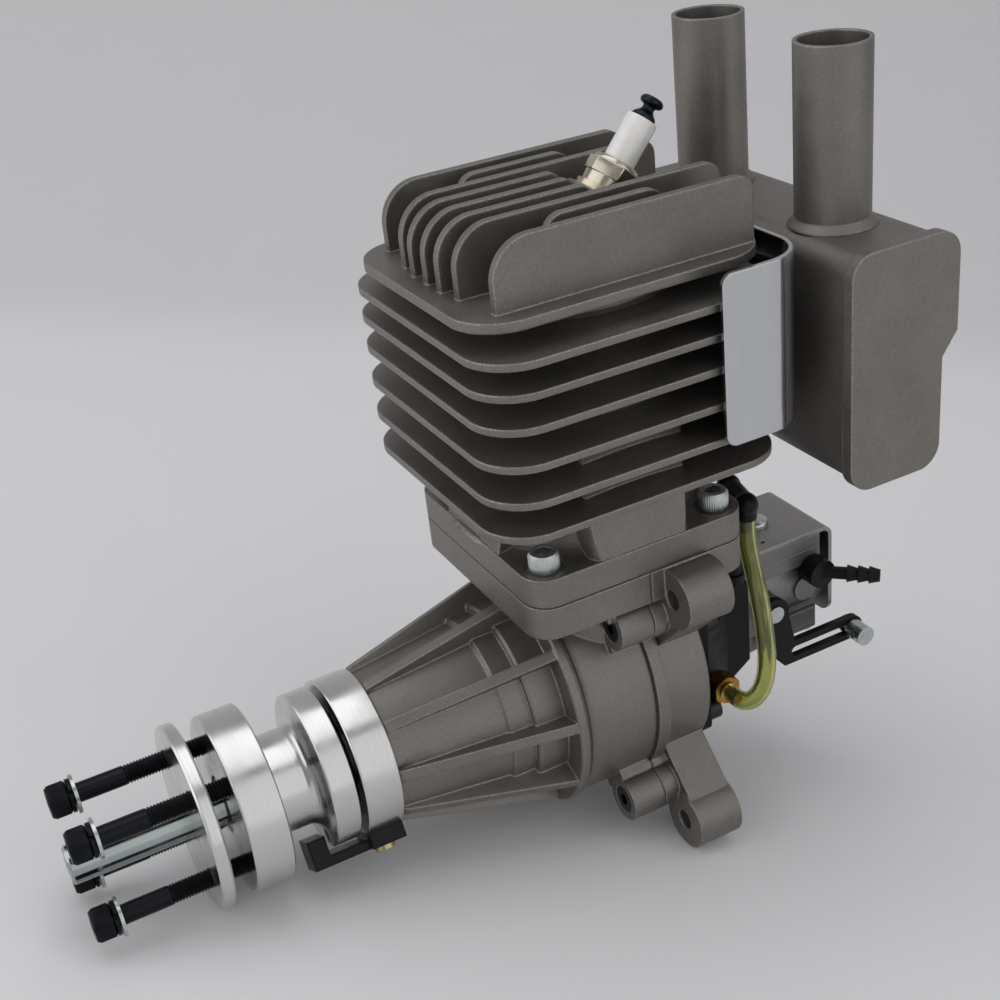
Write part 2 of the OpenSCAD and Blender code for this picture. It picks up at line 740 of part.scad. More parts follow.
module plug_shell() {
    color("#c8c2b4") place() on_plug() difference() {
        union() {
            translate([0, 0, -plug_reach + 1.6]) cylinder(h = plug_reach, d = plug_thread_d);
            translate([0, 0, 1.6]) cylinder(h = 2.1, r = 6.6);
            translate([0, 0, plug_hex_z]) intersection() {
                cylinder(h = plug_hex_h, d = plug_hex / cos(30), $fn = 6);
                cylinder(h = plug_hex_h, d = plug_hex / cos(30) - 0.8);
            }
            translate([0, 0, plug_hex_z + plug_hex_h]) cylinder(h = 1.6, r1 = 5.9, r2 = 5.2);
        }
        translate([0, 0, -plug_reach]) cylinder(h = plug_reach + 40, r = 2.9);
        translate([0, 0, 0]) cylinder(h = 40, d = plug_ceramic_d + 0.1);
    }
}

module plug_insulator() {
    color("#eceae6") place() on_plug() {
        translate([0, 0, -plug_reach + 3]) cylinder(h = plug_reach - 3 + 0.1, r1 = 1.8, r2 = 2.8);
        translate([0, 0, 0.1]) cylinder(h = ceramic_z + plug_ceramic_h - 1.1, d = plug_ceramic_d);
        translate([0, 0, ceramic_z + plug_ceramic_h - 1.01])
            cylinder(h = 1, d1 = plug_ceramic_d, d2 = plug_ceramic_d - 1.6);
    }
}

// Terminal cap with a waist below its ball, as [radius, height]
module plug_terminal() {
    color("#2b3540") place() on_plug() translate([0, 0, ceramic_z + plug_ceramic_h])
        rotate_extrude() polygon([[0, 0], [3, 0], [3.1, 1.6], [2.7, 2.4], [1.9, 3.2], [1.7, 4.2],
            [2.2, 5.2], [2.9, 6], [3.1, 7], [2.8, 8.1], [1.8, 8.9], [0, 9.1]]);
}

// Crankshaft and bearings

crank_nose = -drive_front + 0.5;
nose_j_r = nose_journal_d / 2;
main_j_r = main_journal_d / 2;
race_t = 2.6;
front_ball_d = 6;
rear_ball_d = 6.4;
front_pitch_r = (nose_j_r + front_bearing_d / 2) / 2;
rear_pitch_r = (main_j_r + rear_bearing_d / 2) / 2;
front_mid_y = (front_seat_y0 + front_seat_y1) / 2;
rear_mid_y = (rear_seat_y0 + rear_seat_y1) / 2;
key_y0 = crank_nose + 4;
key_y1 = key_y0 + 10;

module crankshaft() {
    color("#a9adb1") place() difference() {
        union() {
            bar_y(crank_nose, rear_seat_y0, nose_j_r);
            bar_y(rear_seat_y0 - eps, rear_seat_y1, main_j_r);
            bar_y(rear_seat_y1, web_front + eps, main_j_r + 2);
            slab_y(web_front, web_back) intersection() {
                union() {
                    translate([-40, -40]) square([80, 44]);
                    polygon([[-16, 3], [16, 3], [8.9, crank_r + 2], [-8.9, crank_r + 2]]);
                    translate([0, crank_r]) circle(9.2);
                }
                union() {
                    circle(web_r);
                    translate([0, crank_r]) circle(9.2);
                }
            }
        }
        bar_y(crank_nose - 1, crank_nose + 15, 4 + seat_gap);
        block(-1.5, 1.5, key_y0, key_y1, nose_j_r - 1.8, nose_j_r + 2);
    }
}

module race(mid_y, width, r_in, r_out, pitch_r, ball_d) {
    translate([0, mid_y, 0]) difference() {
        bar_y(-width / 2, width / 2, r_out);
        bar_y(-width, width, r_in);
        rotate([-90, 0, 0]) rotate_extrude() translate([pitch_r, 0]) circle(ball_d / 2 + seat_gap);
    }
}

module bearing_outers() {
    color("#b9bcc0") place() {
        race(front_mid_y, front_bearing_w - 0.2, front_bearing_d / 2 - race_t, front_bearing_d / 2, front_pitch_r, front_ball_d);
        race(rear_mid_y, rear_bearing_w - 0.2, rear_bearing_d / 2 - race_t, rear_bearing_d / 2, rear_pitch_r, rear_ball_d);
    }
}

module bearing_inners() {
    color("#b9bcc0") place() {
        race(front_mid_y, front_bearing_w - 0.2, nose_j_r + seat_gap, nose_j_r + race_t, front_pitch_r, front_ball_d);
        race(rear_mid_y, rear_bearing_w - 0.2, main_j_r + seat_gap, main_j_r + race_t, rear_pitch_r, rear_ball_d);
    }
}

// Balls with the two side rings of their cage
module ball_row(mid_y, pitch_r, ball_d) {
    translate([0, mid_y, 0]) {
        for (i = [0:ball_count - 1]) rotate([0, i * 360 / ball_count, 0]) translate([pitch_r, 0, 0]) sphere(d = ball_d);
        for (s = [-1, 1]) translate([0, s * (ball_d / 2 + 0.5), 0]) difference() {
            bar_y(-0.4, 0.4, pitch_r + 1);
            bar_y(-1, 1, pitch_r - 1);
        }
    }
}

module bearing_balls() {
    color("#d5d7da") place() {
        ball_row(front_mid_y, front_pitch_r, front_ball_d);
        ball_row(rear_mid_y, rear_pitch_r, rear_ball_d);
    }
}

module shaft_seal() {
    color("#252525") place() turn_y([[nose_j_r + run_gap, -nose_front + 2], [nose_j_r + 2, -nose_front + 0.3],
        [seal_d / 2, -nose_front + 0.3], [seal_d / 2, front_seat_y0 - 0.1], [nose_j_r + 1.6, front_seat_y0 - 0.1],
        [nose_j_r + 1.6, -nose_front + 3], [nose_j_r + run_gap, -nose_front + 3]]);
}

// Rollers in a slotted cage about Y, between two radii
module needle_row(r_in, r_out, half_len, count) {
    mid = (r_in + r_out) / 2;
    roller = (r_out - r_in) / 2 - seat_gap;
    for (i = [0:count - 1]) rotate([0, i * 360 / count, 0]) translate([mid, 0, 0]) bar_y(-half_len + 1, half_len - 1, roller);
    difference() {
        bar_y(-half_len, half_len, r_out - 0.25);
        bar_y(-half_len - 1, half_len + 1, r_in + 0.25);
        for (i = [0:count - 1]) rotate([0, i * 360 / count, 0]) translate([mid, 0, 0])
            block(-3, 3, -half_len + 0.9, half_len - 0.9, -roller - 0.1, roller + 0.1);
    }
}

crank_pin_r = crank_pin_d / 2;
wrist_pin_r = wrist_pin_d / 2;
big_eye_r = crank_pin_r + needle_wall + 2 * seat_gap;
small_eye_r = wrist_pin_r + needle_wall + 2 * seat_gap;
needle_count = 14;

// Crank pin, in line with the crank throw
module crank_pin() {
    color("#c4c7ca") place() translate([0, 0, crank_r]) bar_y(web_back + side_gap, rod_t / 2 + 1.2, crank_pin_r);
}

module big_end_bearing() {
    color("#b5b08f") place() translate([0, 0, crank_r])
        needle_row(crank_pin_r + seat_gap, big_eye_r - seat_gap, rod_t / 2 - 0.4, needle_count);
}

// Piston group

module con_rod() {
    big_r = big_eye_r + 2.85;
    small_r = small_eye_r + 1.7;
    color("#9a9da1") place() difference() {
        union() {
            slab_y(-rod_t / 2, rod_t / 2) {
                translate([0, crank_r]) circle(big_r);
                translate([0, wrist_z]) circle(small_r);
                polygon([[-7.4, crank_r + 4], [7.4, crank_r + 4], [5.6, wrist_z - 4], [-5.6, wrist_z - 4]]);
            }
        }
        translate([0, 0, crank_r]) bar_y(-20, 20, big_eye_r);
        translate([0, 0, wrist_z]) bar_y(-20, 20, small_eye_r);
        for (s = [-1, 1]) translate([0, s * (rod_t / 2 + 1.75), 0]) slab_y(-3.5, 3.5)
            polygon([[-4.4, crank_r + big_r + 2.5], [4.4, crank_r + big_r + 2.5],
                [3.2, wrist_z - small_r - 2.5], [-3.2, wrist_z - small_r - 2.5]]);
    }
}

module small_end_bearing() {
    color("#b5b08f") place() translate([0, 0, wrist_z])
        needle_row(wrist_pin_r + seat_gap, small_eye_r - seat_gap, rod_t / 2 - 0.4, needle_count);
}

module wrist_pin() {
    color("#c4c7ca") place() translate([0, 0, wrist_z]) difference() {
        bar_y(-wrist_pin_len / 2, wrist_pin_len / 2, wrist_pin_r);
        bar_y(-wrist_pin_len, wrist_pin_len, wrist_pin_r - 2);
    }
}

module pin_clips() {
    color("#7c7f83") place() translate([0, 0, wrist_z]) for (s = [-1, 1]) translate([0, s * (wrist_pin_len / 2 + 0.6), 0])
        difference() {
            bar_y(-0.5, 0.5, wrist_pin_r);
            bar_y(-1, 1, wrist_pin_r - 1);
            translate([0, -1, -8]) cube([10, 2, 4.5]);
        }
}

piston_r = bore_r - 0.2;
ring_h = 1.2;
ring_levels = [wrist_z + crown_h - 4, wrist_z + crown_h - 8];

module piston() {
    color("#b3b4b5") place() difference() {
        translate([0, 0, wrist_z - skirt_h]) cylinder(h = skirt_h + crown_h, r = piston_r);
        difference() {
            translate([0, 0, wrist_z - skirt_h - 1]) cylinder(h = skirt_h + crown_h - 4, r = piston_r - 3);
            translate([0, 0, wrist_z]) for (s = [-1, 1]) translate([0, s * 14.5, 0]) {
                bar_y(-8, 8, wrist_pin_r + 3);
                block(-wrist_pin_r - 3, wrist_pin_r + 3, -8, 8, 0, crown_h);
            }
        }
        translate([0, 0, wrist_z]) bar_y(-40, 40, wrist_pin_r + seat_gap);
        for (z = ring_levels) translate([0, 0, z - ring_h / 2 - 0.05]) ring(piston_r - 1.7, piston_r + 2, ring_h + 0.1);
    }
}

module piston_rings() {
    color("#77797c") place() for (z = ring_levels) translate([0, 0, z - ring_h / 2]) difference() {
        ring(piston_r - 1.5, bore_r - run_gap, ring_h);
        translate([bore_r - 4, -0.2, -1]) cube([6, 0.4, 4]);
    }
}

// Propeller drive

flange_back = -drive_front + drive_t;
washer_back = -drive_front - washer_gap;
bolt_seat = flange_back - 1 - bolt_len;
hub_fillet = 4;
magnet_r = 17.3;

function arc(cx, cy, r, a0, a1, n) = [for (i = [0:n]) let (a = a0 + (a1 - a0) * i / n) [cx + r * cos(a), cy + r * sin(a)]];

module bolt_places() {
    for (i = [0:3]) rotate([0, -bolt_turn - 90 * i, 0]) translate([bolt_pcd / 2, 0, 0]) children();
}

module prop_hub() {
    magnet_front = -magnet_back - magnet_flange_t;
    color("#d3d5d8") place() difference() {
        turn_y(concat([[nose_j_r + seat_gap, -drive_front], [drive_r - 0.4, -drive_front], [drive_r, -drive_front + 0.4],
            [drive_r, flange_back - 0.4], [drive_r - 0.4, flange_back]],
            arc(neck_r + 1.5, flange_back + 1.5, 1.5, -90, -180, 4),
            arc(neck_r + hub_fillet, magnet_front - hub_fillet, hub_fillet, 180, 90, 8),
            [[magnet_flange_r - 0.4, magnet_front], [magnet_flange_r, magnet_front + 0.4],
            [magnet_flange_r, -magnet_back - 0.4], [magnet_flange_r - 0.4, -magnet_back],
            [nose_j_r + seat_gap, -magnet_back]]));
        bolt_places() bar_y(-drive_front - 1, flange_back + 1, 2.5 + seat_gap);
        rotate([0, -sensor_turn, 0]) translate([magnet_r, 0, 0])
            bar_y(magnet_front - 1, magnet_front + 5, magnet_d / 2 + seat_gap);
        block(-1.5 - seat_gap, 1.5 + seat_gap, key_y0, key_y1 + 30, 0, nose_j_r + 1.6);
    }
}
module hub_key() {
    color("#8a8d90") place() block(-1.45, 1.45, key_y0 + 0.05, key_y1 - 0.05, nose_j_r - 1.75, nose_j_r + 1.5);
}

module hub_magnet() {
    color("#55585c") place() rotate([0, -sensor_turn, 0]) translate([magnet_r, 0, 0])
        bar_y(-magnet_back - magnet_flange_t + 0.1, -magnet_back - magnet_flange_t + 4.9, magnet_d / 2);
}

module prop_washer() {
    color("#dcdee0") place() difference() {
        turn_y([[stud_d / 2 + run_gap, washer_back - washer_t], [washer_r - 0.5, washer_back - washer_t],
            [washer_r, washer_back - washer_t + 0.5], [washer_r, washer_back - 0.5], [washer_r - 0.5, washer_back],
            [stud_d / 2 + run_gap, washer_back]]);
        bolt_places() bar_y(washer_back - washer_t - 1, washer_back + 1, 2.75);
    }
}

module prop_bolts() {
    color("#1f2022") place() bolt_places() translate([0, bolt_seat, 0]) rotate([90, 0, 0])
        cap_screw(5, bolt_len, 8.5, 5, 4);
}

lock_t = 1.2;
flat_t = 0.9;
module lock_washers() {
    color("#26282a") place() bolt_places() translate([0, bolt_seat, 0]) difference() {
        bar_y(0, lock_t, 4.3);
        bar_y(-1, 3, 2.65);
        translate([2, -1, -0.4]) cube([4, 4, 0.8]);
    }
}

module flat_washers() {
    color("#c3c8c6") place() bolt_places() translate([0, bolt_seat + lock_t, 0]) difference() {
        bar_y(0.05, flat_t, 5);
        bar_y(-1, 3, 2.65);
    }
}

module centre_stud() {
    color("#c5cbc9") place() difference() {
        union() {
            cone_y(-drive_front - stud_len, -drive_front - stud_len + 0.6, stud_d / 2 - 0.6, stud_d / 2);
            bar_y(-drive_front - stud_len + 0.6 - eps, crank_nose - 0.05, stud_d / 2);
            bar_y(crank_nose - 0.1, crank_nose + 14, 4);
        }
        bar_y(-drive_front - stud_len - 1, -drive_front - stud_len + 12, 2.1);
    }
}

// Ignition sensor

holder_flat = ring_r - 1.5;
holder_top = ring_r + 3;
sensor_screw_y = -nose_front - ring_w / 2;
sensor_front = flange_back + 5.5;

module on_sensor() {
    rotate([0, -sensor_turn, 0]) children();
}

module sensor_ring() {
    color("#d6d8da") place() difference() {
        turn_y([[ring_bore_r, -ring_front + 0.4], [ring_bore_r + 0.4, -ring_front], [ring_r - 0.3, -ring_front],
            [ring_r, -ring_front + 0.3], [ring_r, -nose_front - 0.35], [ring_r - 0.3, -nose_front - 0.05],
            [ring_bore_r, -nose_front - 0.05]]);
        on_sensor() block(holder_flat, 30, -ring_front - 1, -nose_front + 1, -7.2, 7.2);
        on_sensor() translate([0, sensor_screw_y, 0]) bar_x(12, 30, 1.5 + seat_gap);
    }
}

module sensor_holder() {
    color("#161718") place() on_sensor() difference() {
        union() {
            block(holder_flat + 0.05, holder_top, -ring_front + 0.3, -nose_front - 0.3, -7, 7);
            block(ring_r + 0.4, holder_top, sensor_front, -ring_front + 0.4, -4.5, 4.5);
            block(magnet_r - 0.8, holder_top, sensor_front, sensor_front + 4.8, -4.5, 4.5);
        }
        translate([0, sensor_screw_y, 0]) bar_x(12, 30, 1.7);
    }
}

module sensor_screw() {
    color("#c9b58a") place() on_sensor() translate([0, sensor_screw_y, 0]) difference() {
        union() {
            bar_x(16.6, holder_top + 0.1, 1.5);
            bar_x(holder_top + 0.05, holder_top + 1.9, 2.7);
        }
        block(holder_top + 1, 30, -4, 4, -0.35, 0.35);
    }
}

// Intake

cage_hx = 16.5;
cage_hz = 11.3;
cage_t = 2;
reed_tip_y = 10.2;
reed_tip_z = 1.8;
reed_root_z = 9;
intake_end_r = throttle_bore_d / 2;

function reed_z(y) = reed_tip_z + (y - reed_tip_y) * (reed_root_z - reed_tip_z) / (case_back + cage_t - 1 - reed_tip_y);

module reed_cage() {
    back = case_back + cage_t;
    color("#24282c") place() translate([0, 0, carb_z]) difference() {
        union() {
            slab_y(case_back + 0.05, back) round_square(cage_hx, cage_hz, 2);
            slab_x(-12, 12) polygon([[back - 1, reed_root_z], [reed_tip_y, reed_tip_z],
                [reed_tip_y, -reed_tip_z], [back - 1, -reed_root_z]]);
        }
        slab_x(-10.5, 10.5) polygon([[back + 1, reed_root_z - 1.2], [reed_tip_y + 2, reed_tip_z - 0.6],
            [reed_tip_y + 2, -reed_tip_z + 0.6], [back + 1, -reed_root_z + 1.2]]);
        for (s = [-1, 1]) translate([s * 5.6, 0, 0]) block(-4.6, 4.6, reed_tip_y + 2.2, 16.8, -12, 12);
    }
}

module reed_petals() {
    color("#3a3f45") place() translate([0, 0, carb_z]) for (x = [-5.7, 5.7], s = [-1, 1])
        mirror([0, 0, (s + 1) / 2]) slab_x(x - 5.1, x + 5.1)
            polygon([[17.9, reed_z(17.9) + 0.06], [reed_tip_y + 0.4, reed_z(reed_tip_y + 0.4) + 0.06],
                [reed_tip_y + 0.4, reed_z(reed_tip_y + 0.4) + 0.06 + petal_t * 1.28],
                [17.9, reed_z(17.9) + 0.06 + petal_t * 1.28]]);
}

barb_y = 27.4;
barb_z = -8;
barb_hex_x = 21.2;
elbow_x = 13.6;
elbow_y = 38.4;
tube_x = 24.5;
tube_y = 36;
tube_top_z = 42.5;
stem_low_z = block_top - 3.9;

module intake_block() {
    color("#1b1d1f") place() difference() {
        intersection() {
            union() {
                slab_y(case_back + 0.05, case_back + 5) translate([0, block_mid_z])
                    round_square(block_hx, (block_top + block_low) / 2, 3);
                translate([0, 0, -40]) linear_extrude(80) polygon([[-21, 18.05], [21, 18.05], [21, 24],
                    [block_end_hx, 34.5], [block_end_hx, block_back], [-block_end_hx, block_back],
                    [-block_end_hx, 34.5], [-21, 24]]);
            }
            slab_x(-30, 30) polygon([[10, -block_low], [24, -block_low], [block_back, -9],
                [block_back, block_top - 0.5], [24, block_top], [10, block_top]]);
        }
        slab_y(case_back - 1, case_back + cage_t + 0.05) translate([0, carb_z]) round_square(cage_hx + 0.1, cage_hz + 0.1, 2);
        translate([0, 0, carb_z]) {
            cone_y(case_back + 1, block_back, 11, intake_end_r);
            bar_y(block_back - 1, block_back + 1, intake_end_r);
        }
        translate([0, 0, block_mid_z]) corners_xz(block_screw_x, block_screw_z) {
            bar_y(0, 40, 2.2);
            bar_y(block_screw_seat, 60, m4_head_d / 2 + 0.3);
        }
        translate([0, barb_y, barb_z]) bar_x(15, 40, 2.5 + seat_gap);
        translate([elbow_x, elbow_y, stem_low_z]) cylinder(h = 20, r = 2 + seat_gap);
        for (s = [-1, 1]) translate([s * carb_screw_x, 0, carb_z + s * carb_screw_z])
            bar_y(block_back - 7, block_back + 1, 2 + seat_gap);
    }
}

// Carburettor

carb_back = carb_y + carb_len;
pad_z = carb_z + carb_hz;
pad_low = carb_z - carb_hz - 0.4;
cover_top = pad_z + cover_t;
shaft_r = 2.5;
choke_shaft_r = 2;
lever_x = 16.8;
lever_t = 2;
lever_slope = atan2(lever_drop, lever_reach);
leg_y = carb_back + 2;
carb_screw_x = 12.8;
carb_screw_z = 6.2;
carb_screw_head_r = 2.4;

module carb_axis() {
    translate([0, 0, carb_z]) children();
}

module carb_body() {
    color("#a2a4a5") place() difference() {
        union() {
            carb_axis() bar_y(carb_y, carb_back, carb_hz - 0.3);
            carb_axis() bar_y(carb_back - 1, leg_y - 0.05, choke_bore_d / 2 + 1.6);
            translate([0, (carb_y + carb_back) / 2 + 0.2, 0]) {
                plate(carb_hx, carb_len / 2 - 0.4, 1.5, pad_z - 4.5, pad_z);
                plate(carb_hx - 0.8, carb_len / 2 - 1.5, 1.5, pad_low, pad_low + 5);
            }
            slab_y(carb_y, carb_y + 4) translate([0, carb_z]) round_square(15.6, 9, 4);
            block(-carb_hx + 2.6, carb_hx - 2.6, carb_y + 0.5, carb_back - 1, pad_low + 1, pad_z - 1);
            translate([0, throttle_y, carb_z]) bar_x(-15.2, lever_x - 0.6, 4.4);
            translate([0, choke_y, carb_z]) bar_x(-14, carb_hx, 3.8);
            for (y = [52, 57.5]) translate([0, y, -1.5]) bar_x(-13.6, -6, 2.8);
        }
        carb_axis() turn_y([[0, carb_y - 1], [throttle_bore_d / 2, carb_y - 1], [throttle_bore_d / 2, throttle_y + 3],
            [throttle_bore_d / 2 - 1, throttle_y + 6.5], [choke_bore_d / 2, throttle_y + 9.5],
            [choke_bore_d / 2, leg_y + 1], [0, leg_y + 1]]);
        translate([0, throttle_y, carb_z]) bar_x(-30, 30, shaft_r + run_gap);
        translate([0, choke_y, carb_z]) bar_x(-30, carb_hx - 1, choke_shaft_r + run_gap);
        for (y = [52, 57.5]) translate([0, y, -1.5]) bar_x(-20, -11, 1.5 + seat_gap);
        for (s = [-1, 1]) translate([s * carb_screw_x, 0, carb_z + s * carb_screw_z]) {
            bar_y(carb_y - 1, carb_y + 5, 2.2);
            bar_y(carb_y + 4, carb_y + 7.1, carb_screw_head_r + 0.3);
        }
        translate([0, pump_screw_y, pad_z - 5]) cylinder(h = 8, r = 1.5 + seat_gap);
        metering_places() translate([0, 0, pad_low - 1]) cylinder(h = 5, r = 1.3 + seat_gap);
        translate([0, elbow_in_y, elbow_in_z]) bar_x(9.9, 20, 2 + seat_gap);
    }
}

pump_screw_y = 56;
elbow_in_y = 66;
elbow_in_z = 10.8;

module metering_places() {
    translate([0, (carb_y + carb_back) / 2 + 0.2, 0]) corners_xy(9.2, carb_len / 2 - 4) children();
}

module pump_cover() {
    color("#8f9192") place() difference() {
        translate([0, (carb_y + carb_back) / 2 + 0.2, 0]) plate(carb_hx, carb_len / 2 - 0.4, 1.5, pad_z + 0.05, cover_top);
        translate([0, pump_screw_y, pad_z - 1]) cylinder(h = 8, r = 1.7);
    }
}

module metering_cover() {
    color("#8b8d8e") place() difference() {
        translate([0, (carb_y + carb_back) / 2 + 0.2, 0]) {
            plate(carb_hx - 0.8, carb_len / 2 - 1.5, 1.5, pad_low - 1.6, pad_low - 0.05);
            translate([0, 0, pad_low - 3.6]) cylinder(h = 2.1, r1 = 8, r2 = 9);
        }
        metering_places() translate([0, 0, pad_low - 9]) cylinder(h = 10, r = 1.5);
        translate([0, (carb_y + carb_back) / 2 + 0.2, pad_low - 9]) cylinder(h = 7, r = 1.2);
    }
}

// Bent sheet over the top cover and down behind the carburettor
module top_bracket() {
    bend_r = 3;
    y_out = leg_y + bracket_t;
    z_out = cover_top + 0.05 + bracket_t;
    z_low = -7;
    color("#a7aaad") place() difference() {
        intersection() {
            slab_x(-carb_hx, carb_hx) {
                translate([carb_y + 1.4, z_out - bracket_t]) square([y_out - bend_r - carb_y - 1.4, bracket_t]);
                translate([leg_y, z_low]) square([bracket_t, z_out - bend_r - z_low]);
                translate([y_out - bend_r, z_out - bend_r]) difference() {
                    intersection() {
                        circle(bend_r);
                        square([bend_r, bend_r]);
                    }
                    circle(bend_r - bracket_t);
                }
            }
            slab_y(0, 90) translate([0, 30 + z_low]) round_square(carb_hx, 30, 4);
        }
        carb_axis() bar_y(60, 90, choke_bore_d / 2 + 0.2);
        translate([0, pump_screw_y, 10]) cylinder(h = 20, r = 1.7);
        for (s = [-1, 1]) translate([s * 9.4, pump_screw_y - 4 * s, 10]) cylinder(h = 20, r = 0.6);
    }
}

// Pan head screw with a slot that stands on z = 0 and points down
module pan_screw(d, len, head_d, head_h) {
    translate([0, 0, -len]) cylinder(h = len + eps, d = d);
    difference() {
        union() {
            cylinder(h = head_h / 2, d = head_d);
            translate([0, 0, head_h / 2 - eps]) cylinder(h = head_h / 2, d1 = head_d, d2 = head_d - 1.4);
        }
        translate([-head_d, -0.4, head_h * 0.5]) cube([2 * head_d, 0.8, head_h]);
    }
}

module carb_screws() {
    color("#b9bfbd") place() {
        translate([0, pump_screw_y, cover_top + 0.1 + bracket_t]) rotate([0, 0, 35]) pan_screw(3, 9, 5.8, 1.8);
        metering_places() translate([0, 0, pad_low - 1.65]) mirror([0, 0, 1]) pan_screw(2.6, 5, 4.4, 1.5);
        for (s = [-1, 1]) translate([s * carb_screw_x, carb_y + 4.05, carb_z + s * carb_screw_z]) rotate([-90, 0, 0])
            pan_screw(4, 10.5, 2 * carb_screw_head_r, 2);
    }
}

module mixture_screws() {
    color("#b8a878") place() for (y = [52, 57.5]) translate([0, y, -1.5]) difference() {
        union() {
            bar_x(-17.4, -11.2, 1.5);
            bar_x(-19.5, -17.3, 2.4);
        }
        block(-21, -18.4, -4, 4, -0.4, 0.4);
    }
}

module fuel_elbow() {
    color("#17181a") place() translate([0, elbow_in_y, elbow_in_z]) {
        bar_x(10.4, 13.4, 2);
        bar_x(13.1, 18.2, 4.2);
        translate([16, 0, 0]) rotate([0, 0, 45]) {
            bar_x(0, 17, 1.8);
            for (x = [8, 11, 14]) rotate([0, 90, 0]) translate([0, 0, x]) cylinder(h = 2.6, r1 = 2.5, r2 = 1.8);
        }
    }
}

module throttle_shaft() {
    color("#b5b8ba") place() translate([0, throttle_y, carb_z]) difference() {
        union() {
            bar_x(-16.6, lever_x + lever_t + 0.6, shaft_r);
            bar_x(-17.2, -16, 3.4);
        }
        block(-8.95, 8.95, -0.53, 0.53, -4, 4);
    }
}

module throttle_plate() {
    color("#b9a56c") place() translate([0, throttle_y, carb_z]) bar_y(-0.5, 0.5, throttle_bore_d / 2 - side_gap);
}

// Slotted lever that hangs below its shaft and reaches back
module throttle_lever() {
    half = 3.6;
    slot_y = 7;
    color("#17181a") place() translate([0, throttle_y, carb_z]) difference() {
        union() {
            bar_x(lever_x, lever_x + lever_t, 4.6);
            slab_x(lever_x, lever_x + lever_t) polygon([[-4.2, 0], [4.2, 0], [6.6, -lever_drop + half],
                [lever_reach, -lever_drop + half], [lever_reach, -lever_drop - half], [3, -lever_drop - half], [-1, -lever_drop + 1]]);
            translate([0, lever_reach, -lever_drop]) bar_x(lever_x, lever_x + lever_t, half);
        }
        bar_x(lever_x - 1, lever_x + lever_t + 1, shaft_r + seat_gap);
        translate([0, 0, -lever_drop]) {
            translate([0, slot_y, 0]) bar_x(lever_x - 1, lever_x + lever_t + 1, slot_pin_r + 0.1);
            translate([0, lever_reach, 0]) bar_x(lever_x - 1, lever_x + lever_t + 1, slot_pin_r + 0.1);
            block(lever_x - 1, lever_x + lever_t + 1, slot_y, lever_reach, -slot_pin_r - 0.1, slot_pin_r + 0.1);
        }
    }
}

module lever_swivel() {
    color("#c9ccce") place() translate([0, throttle_y + lever_reach, carb_z - lever_drop]) difference() {
        union() {
            bar_x(lever_x - 1, lever_x + lever_t + 1, slot_pin_r);
            bar_x(lever_x - 1.4, lever_x - 0.3, 2.6);
            bar_x(lever_x + lever_t + 0.3, lever_x + lever_t + 6, 2.9);
        }
        translate([lever_x + lever_t + 3.2, -5, 0]) bar_y(0, 10, 1);
    }
}
slot_pin_r = 1.5;

module choke_shaft() {
    color("#b5b8ba") place() translate([0, choke_y, carb_z]) difference() {
        bar_x(-17.4, carb_hx - 1 - side_gap, choke_shaft_r);
        block(-9.85, 9.85, -4, 4, -0.53, 0.53);
    }
}

module choke_plate() {
    color("#b9a56c") place() translate([0, choke_y, carb_z - 0.5]) cylinder(h = 1, r = choke_bore_d / 2 - side_gap);
}

module choke_lever() {
    arm = 13;
    color("#17181a") place() translate([0, choke_y, carb_z]) difference() {
        union() {
            bar_x(-16.5, -14.5, 4);
            slab_x(-16.5, -14.5) polygon([[-3.6, 0], [3.6, 0], [2.6, -arm], [-2.6, -arm]]);
            translate([0, 0, -arm]) bar_x(-16.5, -14.5, 2.8);
        }
        bar_x(-17, -14, choke_shaft_r + seat_gap);
        translate([0, 0, -arm]) bar_x(-17, -14, 1.1);
    }
}

// Impulse line

module impulse_barb() {
    color("#b98a3c") place() translate([0, barb_y, barb_z]) {
        bar_x(16, barb_hex_x + 1, 2.5);
        intersection() {
            translate([barb_hex_x, 0, 0]) rotate([0, 90, 0]) cylinder(h = 4.6, d = 7.6 / cos(30), $fn = 6);
            bar_x(barb_hex_x, barb_hex_x + 4.6, 7.6 / cos(30) / 2 - 0.3);
        }
        bar_x(25.7, 30.8, 1.5);
    }
}

tube_path = [[26.2, 27.4, -8], [28.8, 27.4, -8], [31, 27.5, -8], [33.2, 28.1, -7.6], [35, 29.6, -6.2], [35.6, 31.8, -3.4],
    [35.2, 33.4, 0.4], [34.2, 34.6, 5], [32.6, 35.3, 11], [30.6, 35.7, 18], [28.2, 35.9, 25], [26, 36, 31],
    [24.9, 36, 35], [24.5, 36, 38.2], [24.5, 36, 42.4]];
tube_sides = 12;

function unit(v) = v / norm(v);
function path_dir(p, i) = unit(p[min(i + 1, len(p) - 1)] - p[max(i - 1, 0)]);
function path_side(p, i) = unit(cross(path_dir(p, i), [0.35, -0.9, 0.25]));
function path_ring(p, i, r, n) = let (s = path_side(p, i), t = cross(path_dir(p, i), s))
    [for (k = [0:n - 1]) p[i] + r * (cos(360 * k / n) * s + sin(360 * k / n) * t)];

